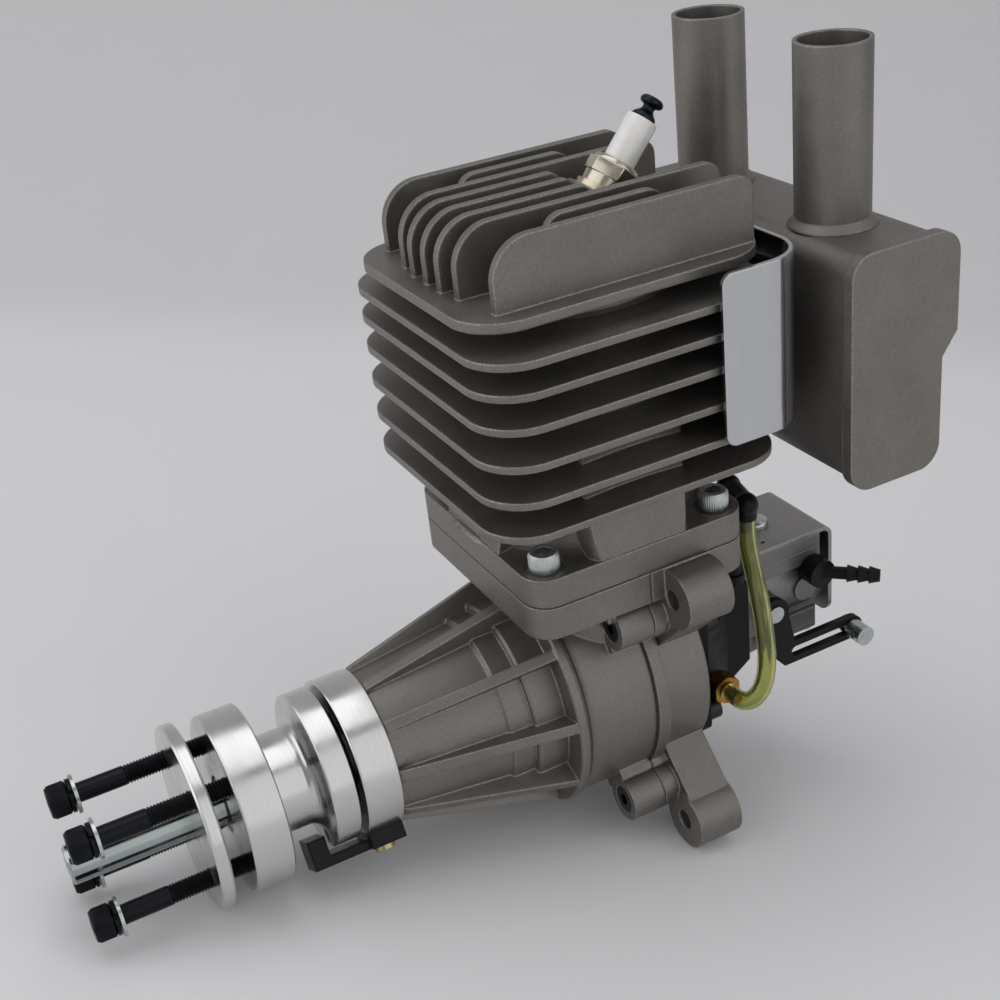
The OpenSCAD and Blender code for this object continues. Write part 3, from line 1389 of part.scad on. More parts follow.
// Tube swept along a path, open at both ends
module sweep_tube(p, r_out, r_in, n) {
    m = len(p);
    outer = [for (i = [0:m - 1]) each path_ring(p, i, r_out, n)];
    inner = [for (i = [0:m - 1]) each path_ring(p, i, r_in, n)];
    side = [for (i = [0:m - 2], k = [0:n - 1]) let (a = i * n + k, b = i * n + (k + 1) % n) each [[a, b, b + n], [a, b + n, a + n]]];
    hole = [for (f = side) [f[2] + m * n, f[1] + m * n, f[0] + m * n]];
    ends = [for (k = [0:n - 1]) let (a = k, b = (k + 1) % n, c = (m - 1) * n) each
        [[b, a, a + m * n], [b, a + m * n, b + m * n], [a + c, b + c, b + c + m * n], [a + c, b + c + m * n, a + c + m * n]]];
    polyhedron(points = concat(outer, inner), faces = concat(side, hole, ends));
}

module impulse_tube() {
    color("#b9c24a") place() sweep_tube(tube_path, tube_d / 2, 1.6, tube_sides);
}

module impulse_elbow() {
    top = tube_top_z + 4;
    color("#151617") place() {
        translate([elbow_x, elbow_y, stem_low_z + 0.2]) cylinder(h = top - stem_low_z - 0.2, r = 1.98);
        translate([elbow_x, elbow_y, block_top - 0.2]) cylinder(h = 3, r = 3.4);
        translate([elbow_x, elbow_y, 20]) cylinder(h = top - 20, r = 2.9);
        translate([elbow_x, elbow_y, top]) sphere(r = 3.3);
        translate([elbow_x, elbow_y, top]) rotate([0, 0, atan2(tube_y - elbow_y, tube_x - elbow_x)])
            bar_x(0, norm([tube_x - elbow_x, tube_y - elbow_y]), 2.9);
        translate([tube_x, tube_y, top]) sphere(r = 3.3);
        translate([tube_x, tube_y, tube_top_z + 0.1]) cylinder(h = top - tube_top_z, r = 2.8);
        translate([tube_x, tube_y, tube_top_z - 3.6]) cylinder(h = 5, r = 1.5);
    }
}

// Muffler

step_z0 = 85;
step_z1 = 91;
low_back = box_back - box_step;
cap_y_mid = (box_front + box_back) / 2;
cap_z_mid = (box_low_z + box_top_z) / 2;
cap_face_x = box_hx - 2.5;
pipe_y = 63.8;
pipe_low_z = box_top_z - 11.8;
neck_face = stub_face + shield_t + 0.1;
muffler_screw_len = 41.4;

// Outline of the muffler in Y and Z, smaller by d all round
module box_outline(d) {
    module part(y0, y1, z0, z1) {
        translate([(y0 + y1) / 2, (z0 + z1) / 2]) round_square((y1 - y0) / 2 - d, (z1 - z0) / 2 - d, box_edge - d);
    }
    part(box_front, box_back, step_z0 - 1, box_top_z);
    part(box_front, low_back, box_low_z, box_top_z);
}

module box_shape(x0, x1, d) {
    difference() {
        slab_x(x0, x1) box_outline(d);
        slab_x(x0 - 1, x1 + 1) polygon([[low_back - d, step_z0 - 20], [box_back + 5, step_z0 - 20],
            [box_back + 5, step_z1], [box_back - d, step_z1], [low_back - d, step_z0]]);
    }
}

module screw_tubes(r) {
    for (s = [-1, 1]) translate([s * box_screw_x, 0, box_screw_z]) bar_y(box_front, low_back, r);
}

module muffler() {
    color("#8e8b87") place() difference() {
        union() {
            difference() {
                intersection() {
                    box_shape(-box_hx, cap_face_x, 0);
                    translate([10, cap_y_mid, 0]) plate(box_hx + 10, (box_back - box_front) / 2, box_edge, 0, 200);
                    slab_y(0, 100) translate([10, cap_z_mid]) round_square(box_hx + 10, (box_top_z - box_low_z) / 2, box_edge);
                }
                box_shape(-box_hx + box_wall, cap_face_x + 1, box_wall);
            }
            difference() {
                slab_y(neck_face, box_front + box_wall) stub_outline();
                slab_y(box_front + 0.1, box_front + box_wall + 1) port_outline();
            }
            screw_tubes(4.2);
        }
        slab_y(neck_face - 1, box_front + box_wall + 1) port_outline();
        for (s = [-1, 1]) {
            translate([s * box_screw_x, 0, box_screw_z]) bar_y(0, 100, 2.7);
            translate([s * pipe_x, pipe_y, 90]) cylinder(h = 60, r = pipe_r + seat_gap);
        }
    }
}

module muffler_cap() {
    color("#93908c") place() {
        box_shape(cap_face_x + 0.05, box_hx + 1, -cap_rim);
        difference() {
            box_shape(cap_face_x - 4, cap_face_x + 0.06, box_wall + 0.08);
            box_shape(cap_face_x - 5, cap_face_x + 0.01, box_wall + 1.5);
        }
    }
}

module outlet_pipes() {
    color("#96938e") place() for (s = [-1, 1]) translate([s * pipe_x, pipe_y, 0]) difference() {
        union() {
            translate([0, 0, pipe_low_z]) cylinder(h = pipe_top_z - pipe_low_z, r = pipe_r);
            translate([0, 0, box_top_z + 0.05]) cylinder(h = 2, r1 = pipe_r + 1.8, r2 = pipe_r);
        }
        translate([0, 0, pipe_low_z - 1]) cylinder(h = pipe_top_z - pipe_low_z + 2, r = pipe_r - pipe_wall);
    }
}

module muffler_screws() {
    color("#2a2b2d") place() for (s = [-1, 1]) translate([s * box_screw_x, low_back + 0.05, box_screw_z])
        rotate([-90, 0, 0]) cap_screw(5, muffler_screw_len, 8.5, 5, 4);
}

// Bent sheet round the back of the fins
module heat_shield() {
    y_in = stub_face + 0.05;
    y_out = y_in + shield_t;
    x_out = shield_in_x + shield_t;
    mid_z = (shield_low_z + shield_top_z) / 2;
    half_z = (shield_top_z - shield_low_z) / 2;
    color("#cfd1d3") place() difference() {
        intersection() {
            translate([0, 0, stub_z0]) linear_extrude(shield_top_z - stub_z0) difference() {
                translate([0, y_out - 50]) round_square(x_out, 50, 12);
                translate([0, y_in - 50]) round_square(shield_in_x, 50, 12 - shield_t);
            }
            union() {
                slab_x(-60, 60) translate([shield_front + 40, mid_z]) round_square(40, half_z, 3);
                slab_y(y_in - 1, y_out + 1) stub_outline();
            }
        }
        slab_y(y_in - 1, y_out + 1) port_outline();
        for (s = [-1, 1]) translate([s * box_screw_x, 0, box_screw_z]) bar_y(y_in - 1, y_out + 1, 2.7);
    }
}

// Drawing

front_case();
rear_case();
case_gasket();
case_screws();
base_gasket();
engine_cylinder();  // cylinder
cylinder_screws();
plug_gasket();
plug_shell();
plug_insulator();
plug_terminal();
crankshaft();
bearing_outers();
bearing_inners();
bearing_balls();
shaft_seal();
crank_pin();
big_end_bearing();
con_rod();
small_end_bearing();
wrist_pin();
pin_clips();
piston();
piston_rings();
prop_hub();
hub_key();
hub_magnet();
prop_washer();
prop_bolts();
lock_washers();
flat_washers();
centre_stud();
sensor_ring();
sensor_holder();
sensor_screw();
reed_cage();
reed_petals();
intake_block();
carb_body();
pump_cover();
metering_cover();
top_bracket();
carb_screws();
mixture_screws();
fuel_elbow();
throttle_shaft();
throttle_plate();
throttle_lever();
lever_swivel();
choke_shaft();
choke_plate();
choke_lever();
impulse_barb();
impulse_tube();
impulse_elbow();
muffler();
muffler_cap();
outlet_pipes();
muffler_screws();
heat_shield();
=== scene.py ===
"""Looks for a single-cylinder model aircraft engine: finishes, screws, spark plug, tube and a plain studio.

Everything is in metres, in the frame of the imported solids. +Y runs back along the crankshaft, and +Z up the
cylinder.
"""

import math

import bmesh
import bpy
from bpy.props import FloatProperty, FloatVectorProperty, IntProperty, PointerProperty
from bpy.types import Operator, Panel, PropertyGroup
from mathutils import Matrix, Vector


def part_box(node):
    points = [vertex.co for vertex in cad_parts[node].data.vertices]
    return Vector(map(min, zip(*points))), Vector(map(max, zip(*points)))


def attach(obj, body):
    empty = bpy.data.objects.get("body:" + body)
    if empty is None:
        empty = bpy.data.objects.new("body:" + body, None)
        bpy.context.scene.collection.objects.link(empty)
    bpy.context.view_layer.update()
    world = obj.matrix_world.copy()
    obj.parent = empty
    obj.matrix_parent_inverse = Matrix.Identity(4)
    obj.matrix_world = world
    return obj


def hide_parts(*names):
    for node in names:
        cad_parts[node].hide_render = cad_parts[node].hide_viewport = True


bl_info = {
    "name": "Model Aircraft Engine",
    "version": (1, 0, 0),
    "blender": (4, 5, 0),
    "location": "View3D > Sidebar > Engine",
    "description": "Dresses the solids of a model aircraft engine with finishes, screws and a studio",
    "category": "Object",
}

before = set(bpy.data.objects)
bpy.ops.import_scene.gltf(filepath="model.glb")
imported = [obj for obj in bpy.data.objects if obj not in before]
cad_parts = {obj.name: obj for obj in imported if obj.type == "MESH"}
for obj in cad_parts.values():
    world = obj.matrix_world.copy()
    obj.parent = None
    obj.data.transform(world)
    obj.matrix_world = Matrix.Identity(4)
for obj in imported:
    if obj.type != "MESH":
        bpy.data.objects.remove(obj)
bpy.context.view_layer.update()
MM = 0.001

# Places that the pieces share with the solids, those in lists as points in millimetres
CYLINDER_Y = -18 * MM
BOLT_CIRCLE_R = 16 * MM
FIRST_BOLT_TURN = math.radians(50.4)
CYLINDER_SCREW_X = 26.5 * MM
CYLINDER_SCREW_Y = 24.6 * MM
PLUG_SEAT = Vector((0, -4.4, 128.6)) * MM
PLUG_LEAN = math.radians(40)
BRACKET_SCREW = [(0, 38, 22.29)]
COVER_SCREWS = [(x, y, -10.04) for x in (-9.2, 9.2) for y in (28.2, 48.2)]
FLANGE_SCREWS = [(-12.8, 28.05, -1.7), (12.8, 28.05, 10.7)]
TUBE_ROUTE = [
    (26.2, 9.4, -8), (28.8, 9.4, -8), (31, 9.5, -8), (33.2, 10.1, -7.6), (35, 11.6, -6.2), (35.6, 13.8, -3.4),
    (35.2, 15.4, 0.4), (34.2, 16.6, 5), (32.6, 17.3, 11), (30.6, 17.7, 18), (28.2, 17.9, 25), (26, 18, 31),
    (24.9, 18, 35), (24.5, 18, 38.2), (24.5, 18, 42.4),
]

# Steps round a small turned piece, and round a thread or a spring washer
ROUND_STEPS = 48
THREAD_STEPS = 28
WASHER_STEPS = 64

# The floor touches the rim of the washer and the front lower edges of the lugs
FLOOR_POINT = Vector((0, -134.8, -23.9)) * MM
FLOOR_NORMAL = Vector((0, 0.1549, 0.9879)).normalized()
# Painted shade: the paper blends to a darker colour from this depth behind the floor point, over this width
PAINTED_SHADE_DEPTH = 470 * MM
PAINTED_SHADE_BLEND = 70 * MM

# The sweep of the background paper, in metres
FLOOR_FRONT = -4.0
FLOOR_BACK = 1.5
FLOOR_HALF_WIDTH = 4.0
WALL_HEIGHT = 2.2
COVE = 1.0

# The camera at the photograph's viewing angle
CAMERA_PLACE = Vector((305.28, -181.55, 238.15)) * MM
CAMERA_RIGHT = Vector((0.4678, 0.8780, -0.1016))
CAMERA_BACK = Vector((0.8020, -0.3733, 0.4664))
CAMERA_LENS = 54.2
CAMERA_SHIFT = (-0.00064, -0.01218)


def linear(hex_colour):
    """An sRGB hex colour as linear red, green, blue and alpha."""
    value = hex_colour.lstrip("#")
    channels = [int(value[i : i + 2], 16) / 255 for i in (0, 2, 4)]
    return tuple(c / 12.92 if c <= 0.04045 else ((c + 0.055) / 1.055) ** 2.4 for c in channels) + (1.0,)


def colour_setting(name, description, hex_colour):
    """A colour that the user may change."""
    return FloatVectorProperty(name=name, description=description, subtype="COLOR", size=4, min=0, max=1,
                               default=linear(hex_colour))


def length_setting(name, description, millimetres):
    """A length that the user may change."""
    return FloatProperty(name=name, description=description, subtype="DISTANCE", unit="LENGTH", min=0,
                         precision=5, default=millimetres * MM)


def strength_setting(name, description, default, **unit):
    """A strength of light that the user may change."""
    return FloatProperty(name=name, description=description, default=default, min=0, **unit)


class EngineColours(PropertyGroup):
    """Colours of the finishes."""

    casting: colour_setting("Casting", "Bead-blasted cast aluminium of case, cylinder and muffler", "#837f7a")
    # Edge colour of the castings: partly wear from handling, partly a painted highlight along the edges
    casting_edge_wear_and_highlight: colour_setting("Casting Edge", "Edges of the castings, paler from wear and painted paler as highlight", "#c2bfbb")
    turned: colour_setting("Turned Aluminium", "Hub, washer and sensor ring", "#d4d4d3")
    black_steel: colour_setting("Black Steel", "Screws with a black oxide finish", "#26272a")
    zinc: colour_setting("Zinc Plate", "Plated screws, stud and washers", "#c4cac8")
    nickel: colour_setting("Nickel Plate", "Shell of the spark plug", "#c9c2b2")
    ceramic: colour_setting("Ceramic", "Glazed insulator of the spark plug", "#efedea")
    brass: colour_setting("Brass", "Fitting of the impulse tube and carburettor plates", "#b88a3d")
    tube: colour_setting("Tube", "Soft clear yellow-green tube", "#d9dd92")
    plastic: colour_setting("Black Plastic", "Nylon of the intake block, elbows and levers", "#0c0d0e")
    sheet: colour_setting("Sheet", "Aluminium sheet of the heat shield", "#c9cbcd")
    carburettor: colour_setting("Carburettor", "Die-cast body and covers of the carburettor", "#7f7d7d")


class EngineSizes(PropertyGroup):
    """Sizes of the pieces made here."""

    thread_pitch: length_setting("Thread Pitch", "Pitch of the 5 mm threads", 0.8)
    thread_depth: length_setting("Thread Depth", "Depth of the 5 mm threads", 0.34)
    knurl_depth: length_setting("Knurl Depth", "Depth of the grooves round a screw head", 0.2)
    knurl_count: IntProperty(name="Knurl Count", description="Grooves round a screw head", default=40,
                             min=12, max=60)
    plug_hexagon: length_setting("Plug Hexagon", "Hexagon of the spark plug, across flats", 12.4)
    insulator_diameter: length_setting("Insulator Diameter", "Diameter of the white insulator", 8)
    insulator_height: length_setting("Insulator Height", "Height of the insulator over the hexagon", 12.2)
    screw_slot: length_setting("Screw Slot", "Width of the slots in the carburettor's screws", 0.8)
    washer_offset: length_setting("Washer Offset", "Step between the two ends of a split spring washer", 0.3)
    tube_diameter: length_setting("Tube Diameter", "Outside diameter of the impulse tube", 5)
    tube_wall: length_setting("Tube Wall", "Wall of the impulse tube", 0.9)


class StudioSettings(PropertyGroup):
    """Floor and lamps."""

    floor: colour_setting("Floor", "Pale grey paper under the engine", "#e7e6e8")
    # Darker colour of the far paper, a painted shade
    painted_shade_backdrop: colour_setting("Backdrop", "Far paper, painted darker as shade", "#dddcde")
    key_power: strength_setting("Key Power", "Power of the soft box overhead", 2.6, unit="POWER")
    left_power: strength_setting("Left Power", "Power of the soft box on the left", 12, unit="POWER")
    right_power: strength_setting("Right Power", "Power of the soft box on the right", 7.5, unit="POWER")
    ambient: strength_setting("Ambient", "Strength of the room's light", 0.54)
    shade: strength_setting("Shade", "Strength of the room's light from behind the camera", 0.3)


# Shared helpers

# Most values of a noise lie between these
NOISE_SPAN = {"From Min": 0.3, "From Max": 0.7}


def add_node(tree, kind, settings=None, inputs=None):
    """A node of this kind with its settings; an input given as a socket is linked, and any other is set."""
    node = tree.nodes.new(kind)
    for name, value in (settings or {}).items():
        setattr(node, name, value)
    for name, value in (inputs or {}).items():
        if isinstance(value, bpy.types.NodeSocket):
            tree.links.new(value, node.inputs[name])
        else:
            node.inputs[name].default_value = value
    return node


def new_material(name, **sockets):
    """A node material with its shader's plain values set."""
    material = bpy.data.materials.new(name)
    material.use_nodes = True
    tree = material.node_tree
    tree.nodes.clear()
    shader = add_node(tree, "ShaderNodeBsdfPrincipled")
    for socket, value in sockets.items():
        shader.inputs[socket.replace("_", " ").title().replace("Ior", "IOR")].default_value = value
    add_node(tree, "ShaderNodeOutputMaterial", inputs={"Surface": shader.outputs["BSDF"]})
    return material, tree, shader


def rounded_edges(tree, radius):
    """A normal that rounds the edges by this radius, as tumbling, blasting and deburring do."""
    return add_node(tree, "ShaderNodeBevel", {"samples": 6}, {"Radius": radius}).outputs["Normal"]


def connect(tree, shader, colour, roughness, bump):
    """Feeds the three sockets that the metal and plastic finishes vary."""
    tree.links.new(colour, shader.inputs["Base Color"])
    tree.links.new(roughness.outputs["Result"], shader.inputs["Roughness"])
    tree.links.new(bump.outputs["Normal"], shader.inputs["Normal"])


def dress(material, *node_names):
    """Gives CAD nodes this material in all their slots."""
    for name in node_names:
        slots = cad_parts[name].material_slots
        if not slots:
            raise RuntimeError(f"{name} has no material slot")
        for slot in slots:
            slot.material = material


def finish_piece(name, bm, material, body, replaced=(), smooth_angle=math.radians(32)):
    """A mesh object from a bmesh in the shared frame, which rides on a body."""
    bmesh.ops.recalc_face_normals(bm, faces=bm.faces)
    mesh = bpy.data.meshes.new(name)
    bm.to_mesh(mesh)
    bm.free()
    mesh.materials.append(material)
    mesh.shade_smooth()
    mesh.set_sharp_from_angle(angle=smooth_angle)
    obj = bpy.data.objects.new(name, mesh)
    bpy.context.scene.collection.objects.link(obj)
    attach(obj, body)
    if replaced:
        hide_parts(*replaced)
    return obj


def lathe(bm, profile, steps):
    """Turns an outline of (radius, height) points about Z and closes its poles."""
    verts = [bm.verts.new((radius, 0, height)) for radius, height in profile]
    edges = [bm.edges.new(pair) for pair in zip(verts, verts[1:])]
    bmesh.ops.spin(bm, geom=verts + edges, cent=(0, 0, 0), axis=(0, 0, 1), angle=math.tau, steps=steps,
                   use_merge=True)
    bmesh.ops.remove_doubles(bm, verts=bm.verts, dist=1e-7)


def wind(bm, outline, rise, turns, steps):
    """Winds a closed outline of four (radius, height) points up round Z, and closes both ends."""
    verts = [bm.verts.new((radius, 0, height)) for radius, height in outline]
    edges = [bm.edges.new(pair) for pair in zip(verts, verts[1:] + verts[:1])]
    count = round(steps * turns)
    bmesh.ops.spin(bm, geom=verts + edges, cent=(0, 0, 0), axis=(0, 0, 1), dvec=(0, 0, rise / steps),
                   angle=math.tau * turns, steps=count)
    bmesh.ops.holes_fill(bm, edges=[e for e in bm.edges if e.is_boundary], sides=4)


def thread_outline(outer, root, pitch, start):
    """The section of a thread ridge whose middle is at a start height."""
    return [(root, start - 0.45 * pitch), (outer, start - 0.08 * pitch), (outer, start + 0.08 * pitch),
            (root, start + 0.45 * pitch)]


def merge(bm, model, places=(Matrix(),)):
    """Adds the model to a bmesh at each place, frees the model and gives the bmesh back."""
    mesh = bpy.data.meshes.new("model")
    model.to_mesh(mesh)
    model.free()
    for place in places:
        first = len(bm.verts)
        bm.from_mesh(mesh)
        bm.verts.ensure_lookup_table()
        bmesh.ops.transform(bm, matrix=place, verts=bm.verts[first:])
    bpy.data.meshes.remove(mesh)
    return bm


def cap_screw(shank_r, length, head_r, head_height, key, threaded, sizes):
    """A socket head screw that stands on z = 0 and points down, with a knurled head and a threaded tip."""
    bm = bmesh.new()
    chamfer = 0.09 * head_height
    lead = 0.4 * MM
    socket_depth = 0.55 * head_height
    core = shank_r - sizes.thread_depth
    steps = 2 * sizes.knurl_count
    lathe(bm, [(0, -length), (core - 0.3 * MM, -length), (core, -length + lead), (core, threaded - length),
               (shank_r, threaded - length + lead), (shank_r, 0), (head_r - chamfer, 0), (head_r, chamfer),
               (head_r, head_height - 2 * chamfer), (head_r - 1.3 * chamfer, head_height)], steps)
    for v in bm.verts:
        turn = round(math.atan2(v.co.y, v.co.x) / math.tau * steps)
        if turn % 2 and v.co.xy.length > head_r - 0.1 * chamfer:
            v.co.xy *= 1 - sizes.knurl_depth / head_r
    rim = [e for e in bm.edges if e.is_boundary]
    sides = 6
    bmesh.ops.create_circle(bm, segments=sides, radius=key / 2 / math.cos(math.pi / sides),
                            matrix=Matrix.Translation((0, 0, head_height)))
    bmesh.ops.subdivide_edges(bm, edges=[e for e in bm.edges if e.is_wire], cuts=round(steps / sides) - 1)
    edges = [e for e in bm.edges if e.is_wire]
    bmesh.ops.bridge_loops(bm, edges=rim + edges)
    wall = bmesh.ops.extrude_edge_only(bm, edges=edges)["geom"]
    bmesh.ops.translate(bm, verts=[g for g in wall if isinstance(g, bmesh.types.BMVert)],
                        vec=(0, 0, -socket_depth))
    bmesh.ops.contextual_create(bm, geom=[g for g in wall if isinstance(g, bmesh.types.BMEdge)])
    thread = bmesh.new()
    pitch = sizes.thread_pitch
    wind(thread, thread_outline(shank_r, core - 0.02 * MM, pitch, 0.8 * pitch - length), pitch,
         threaded / pitch - 0.6, THREAD_STEPS)
    return merge(bm, thread)


def bolt_places(y):
    """The four places on the bolt circle of the propeller at this y, with their +Z forward."""
    turns = [FIRST_BOLT_TURN + i * math.pi / 2 for i in range(4)]
    forward = Matrix.Rotation(math.pi / 2, 4, "X")
    return [Matrix.Translation((BOLT_CIRCLE_R * math.cos(turn), y, BOLT_CIRCLE_R * math.sin(turn))) @ forward
            for turn in turns]


def slotted_screw(shank_r, length, head_r, head_height, slot):
    """A pan head screw that stands on z = 0 and points down, with a slot right across its head."""
    bm = bmesh.new()
    floor = 0.4 * head_height
    lead = 0.3 * MM
    burr = 0.1 * MM
    lathe(bm, [(0, -length), (shank_r - lead, -length), (shank_r, lead - length), (shank_r, 0),
               (head_r - burr, 0), (head_r, burr), (head_r, floor), (head_r, 0.55 * head_height),
               (0.94 * head_r, 0.78 * head_height), (0.78 * head_r, 0.93 * head_height),
               (0.45 * head_r, head_height), (0, head_height)], ROUND_STEPS)
    sides = (-slot / 2, slot / 2)
    for side in sides:
        bmesh.ops.bisect_plane(bm, geom=bm.verts[:] + bm.edges[:] + bm.faces[:], dist=1e-7,
                               plane_co=(side, 0, 0), plane_no=(1, 0, 0))
    cut = [f for f in bm.faces
           if abs(f.calc_center_median().x) < slot / 2 and f.calc_center_median().z > floor]
    bmesh.ops.delete(bm, geom=cut, context="FACES")
    for side in sides:
        rim = [e for e in bm.edges if e.is_boundary and all(abs(v.co.x - side) < 1e-7 for v in e.verts)]
        base = bm.edges.new([v for v in bm.verts if v.is_boundary and abs(v.co.x - side) < 1e-7
                             and abs(v.co.z - floor) < 1e-7])
        bmesh.ops.contextual_create(bm, geom=rim + [base])
    bmesh.ops.holes_fill(bm, edges=[e for e in bm.edges if e.is_boundary], sides=0)
    return bm


# Finishes


def blasted_casting(name, colour, edge_wear_and_highlight_colour, roughness=0.46, edge=0.75 * MM):
    """Bead-blasted die-cast aluminium.

    Blasting leaves an even satin with a fine pitted grain, a slow change of tone over the skin and softly
    rounded corners. The edges are painted paler, partly as wear from handling and partly as a painted
    highlight. The grit is about 0.25 mm and is drawn at 0.45 mm so that it shows.
    """
    material, tree, shader = new_material(name, metallic=0.8)
    place = add_node(tree, "ShaderNodeTexCoord").outputs["Object"]
    grit = add_node(tree, "ShaderNodeTexNoise",
                    inputs={"Vector": place, "Scale": 1 / (0.45 * MM), "Detail": 3.0, "Roughness": 0.6})
    tone = add_node(tree, "ShaderNodeTexNoise",
                    inputs={"Vector": place, "Scale": 1 / (18 * MM), "Detail": 4.0, "Roughness": 0.65})
    rounded = rounded_edges(tree, edge)
    flat = add_node(tree, "ShaderNodeNewGeometry")
    likeness = add_node(tree, "ShaderNodeVectorMath", {"operation": "DOT_PRODUCT"},
                        {0: rounded, 1: flat.outputs["Normal"]})
    # Painted highlight and wear: where the rounded normal leaves the flat one, at the edges, the colour is
    # painted paler
    edge_wear_and_highlight = add_node(tree, "ShaderNodeMapRange",
                      inputs={"Value": likeness.outputs["Value"], "From Min": 0.98, "From Max": 0.80,
                              "To Min": 0.0, "To Max": 0.8})
    specks = add_node(tree, "ShaderNodeMapRange",
                      inputs={"Value": grit.outputs["Fac"], "From Min": 0.42, "From Max": 0.6, "To Min": 0.25,
                              "To Max": 1.0})
    speckled_edge_wear_and_highlight = add_node(tree, "ShaderNodeMath", {"operation": "MULTIPLY"},
                    {0: edge_wear_and_highlight.outputs["Result"], 1: specks.outputs["Result"]})
    shade = add_node(tree, "ShaderNodeMapRange",
                     inputs={**NOISE_SPAN, "Value": tone.outputs["Fac"], "To Min": 0.86, "To Max": 1.08})
    pits = add_node(tree, "ShaderNodeMapRange",
                    inputs={**NOISE_SPAN, "Value": grit.outputs["Fac"], "To Min": 0.84, "To Max": 1.12})
    both = add_node(tree, "ShaderNodeMath", {"operation": "MULTIPLY"},
                    {0: shade.outputs["Result"], 1: pits.outputs["Result"]})
    toned = add_node(tree, "ShaderNodeVectorMath", {"operation": "SCALE"},
                     {0: tuple(colour)[:3], "Scale": both.outputs["Value"]})
    skin = add_node(tree, "ShaderNodeMix", {"data_type": "RGBA"},
                    {"Factor": speckled_edge_wear_and_highlight.outputs["Value"], 6: toned.outputs["Vector"], 7: tuple(edge_wear_and_highlight_colour)})
    rough = add_node(tree, "ShaderNodeMapRange",
                     inputs={**NOISE_SPAN, "Value": tone.outputs["Fac"], "To Min": roughness - 0.05,
                             "To Max": roughness + 0.06})
    bump = add_node(tree, "ShaderNodeBump",
                    inputs={"Height": grit.outputs["Fac"], "Strength": 0.45, "Distance": 0.08 * MM,
                            "Normal": rounded})
    connect(tree, shader, skin.outputs[2], rough, bump)
    return material


def turned_metal(name, colour, roughness=0.2, feed=0.3):
    """Metal turned on a lathe about the crank axis.

    The tool leaves fine rings on the faces and the rims, which draw the highlight out across them into a
    band. A real feed is about 0.1 mm, and the rings are drawn wider so that they show.
    """
    material, tree, shader = new_material(name, metallic=1.0, anisotropic=0.6)
    along = add_node(tree, "ShaderNodeTangent", {"direction_type": "RADIAL", "axis": "Y"})
    tree.links.new(along.outputs["Tangent"], shader.inputs["Tangent"])
    place = add_node(tree, "ShaderNodeTexCoord").outputs["Object"]
    split = add_node(tree, "ShaderNodeSeparateXYZ", inputs={"Vector": place})
    across = add_node(tree, "ShaderNodeCombineXYZ", inputs={"X": split.outputs["X"], "Z": split.outputs["Z"]})
    radius = add_node(tree, "ShaderNodeVectorMath", {"operation": "LENGTH"}, {0: across.outputs["Vector"]})
    path = add_node(tree, "ShaderNodeMath", {"operation": "ADD"},
                    {0: radius.outputs["Value"], 1: split.outputs["Y"]})
    rings = add_node(tree, "ShaderNodeTexNoise", {"noise_dimensions": "1D"},
                     {"W": path.outputs["Value"], "Scale": 1 / (feed * MM), "Detail": 2.0})
    smear = add_node(tree, "ShaderNodeTexNoise",
                     inputs={"Vector": place, "Scale": 1 / (9 * MM), "Detail": 3.0})
    shade = add_node(tree, "ShaderNodeMapRange",
                     inputs={**NOISE_SPAN, "Value": rings.outputs["Fac"], "To Min": 0.94, "To Max": 1.02})
    toned = add_node(tree, "ShaderNodeVectorMath", {"operation": "SCALE"},
                     {0: tuple(colour)[:3], "Scale": shade.outputs["Result"]})
    rough = add_node(tree, "ShaderNodeMapRange",
                     inputs={**NOISE_SPAN, "Value": smear.outputs["Fac"], "To Min": roughness - 0.05,
                             "To Max": roughness + 0.08})
    bump = add_node(tree, "ShaderNodeBump",
                    inputs={"Height": rings.outputs["Fac"], "Strength": 0.16, "Distance": 0.02 * MM,
                            "Normal": rounded_edges(tree, 0.3 * MM)})
    connect(tree, shader, toned.outputs["Vector"], rough, bump)
    return material


def plated_metal(name, colour, roughness=0.28, cloud=2.5, depth=0.02):
    """Smooth metal with a plated, blackened or ground skin.

    It gives a clear reflection that clouds a little from place to place, as handling and the bath leave it.
    """
    material, tree, shader = new_material(name, metallic=1.0)
    place = add_node(tree, "ShaderNodeTexCoord").outputs["Object"]
    clouds = add_node(tree, "ShaderNodeTexNoise",
                      inputs={"Vector": place, "Scale": 1 / (cloud * MM), "Detail": 4.0, "Roughness": 0.6})
    grain = add_node(tree, "ShaderNodeTexNoise",
                     inputs={"Vector": place, "Scale": 1 / (0.3 * MM), "Detail": 2.0})
    shade = add_node(tree, "ShaderNodeMapRange",
                     inputs={**NOISE_SPAN, "Value": clouds.outputs["Fac"], "To Min": 0.84, "To Max": 1.06})
    toned = add_node(tree, "ShaderNodeVectorMath", {"operation": "SCALE"},
                     {0: tuple(colour)[:3], "Scale": shade.outputs["Result"]})
    rough = add_node(tree, "ShaderNodeMapRange",
                     inputs={**NOISE_SPAN, "Value": clouds.outputs["Fac"], "To Min": roughness - 0.06,
                             "To Max": roughness + 0.1})
    bump = add_node(tree, "ShaderNodeBump",
                    inputs={"Height": grain.outputs["Fac"], "Strength": 0.2, "Distance": depth * MM,
                            "Normal": rounded_edges(tree, 0.15 * MM)})
    connect(tree, shader, toned.outputs["Vector"], rough, bump)
    return material


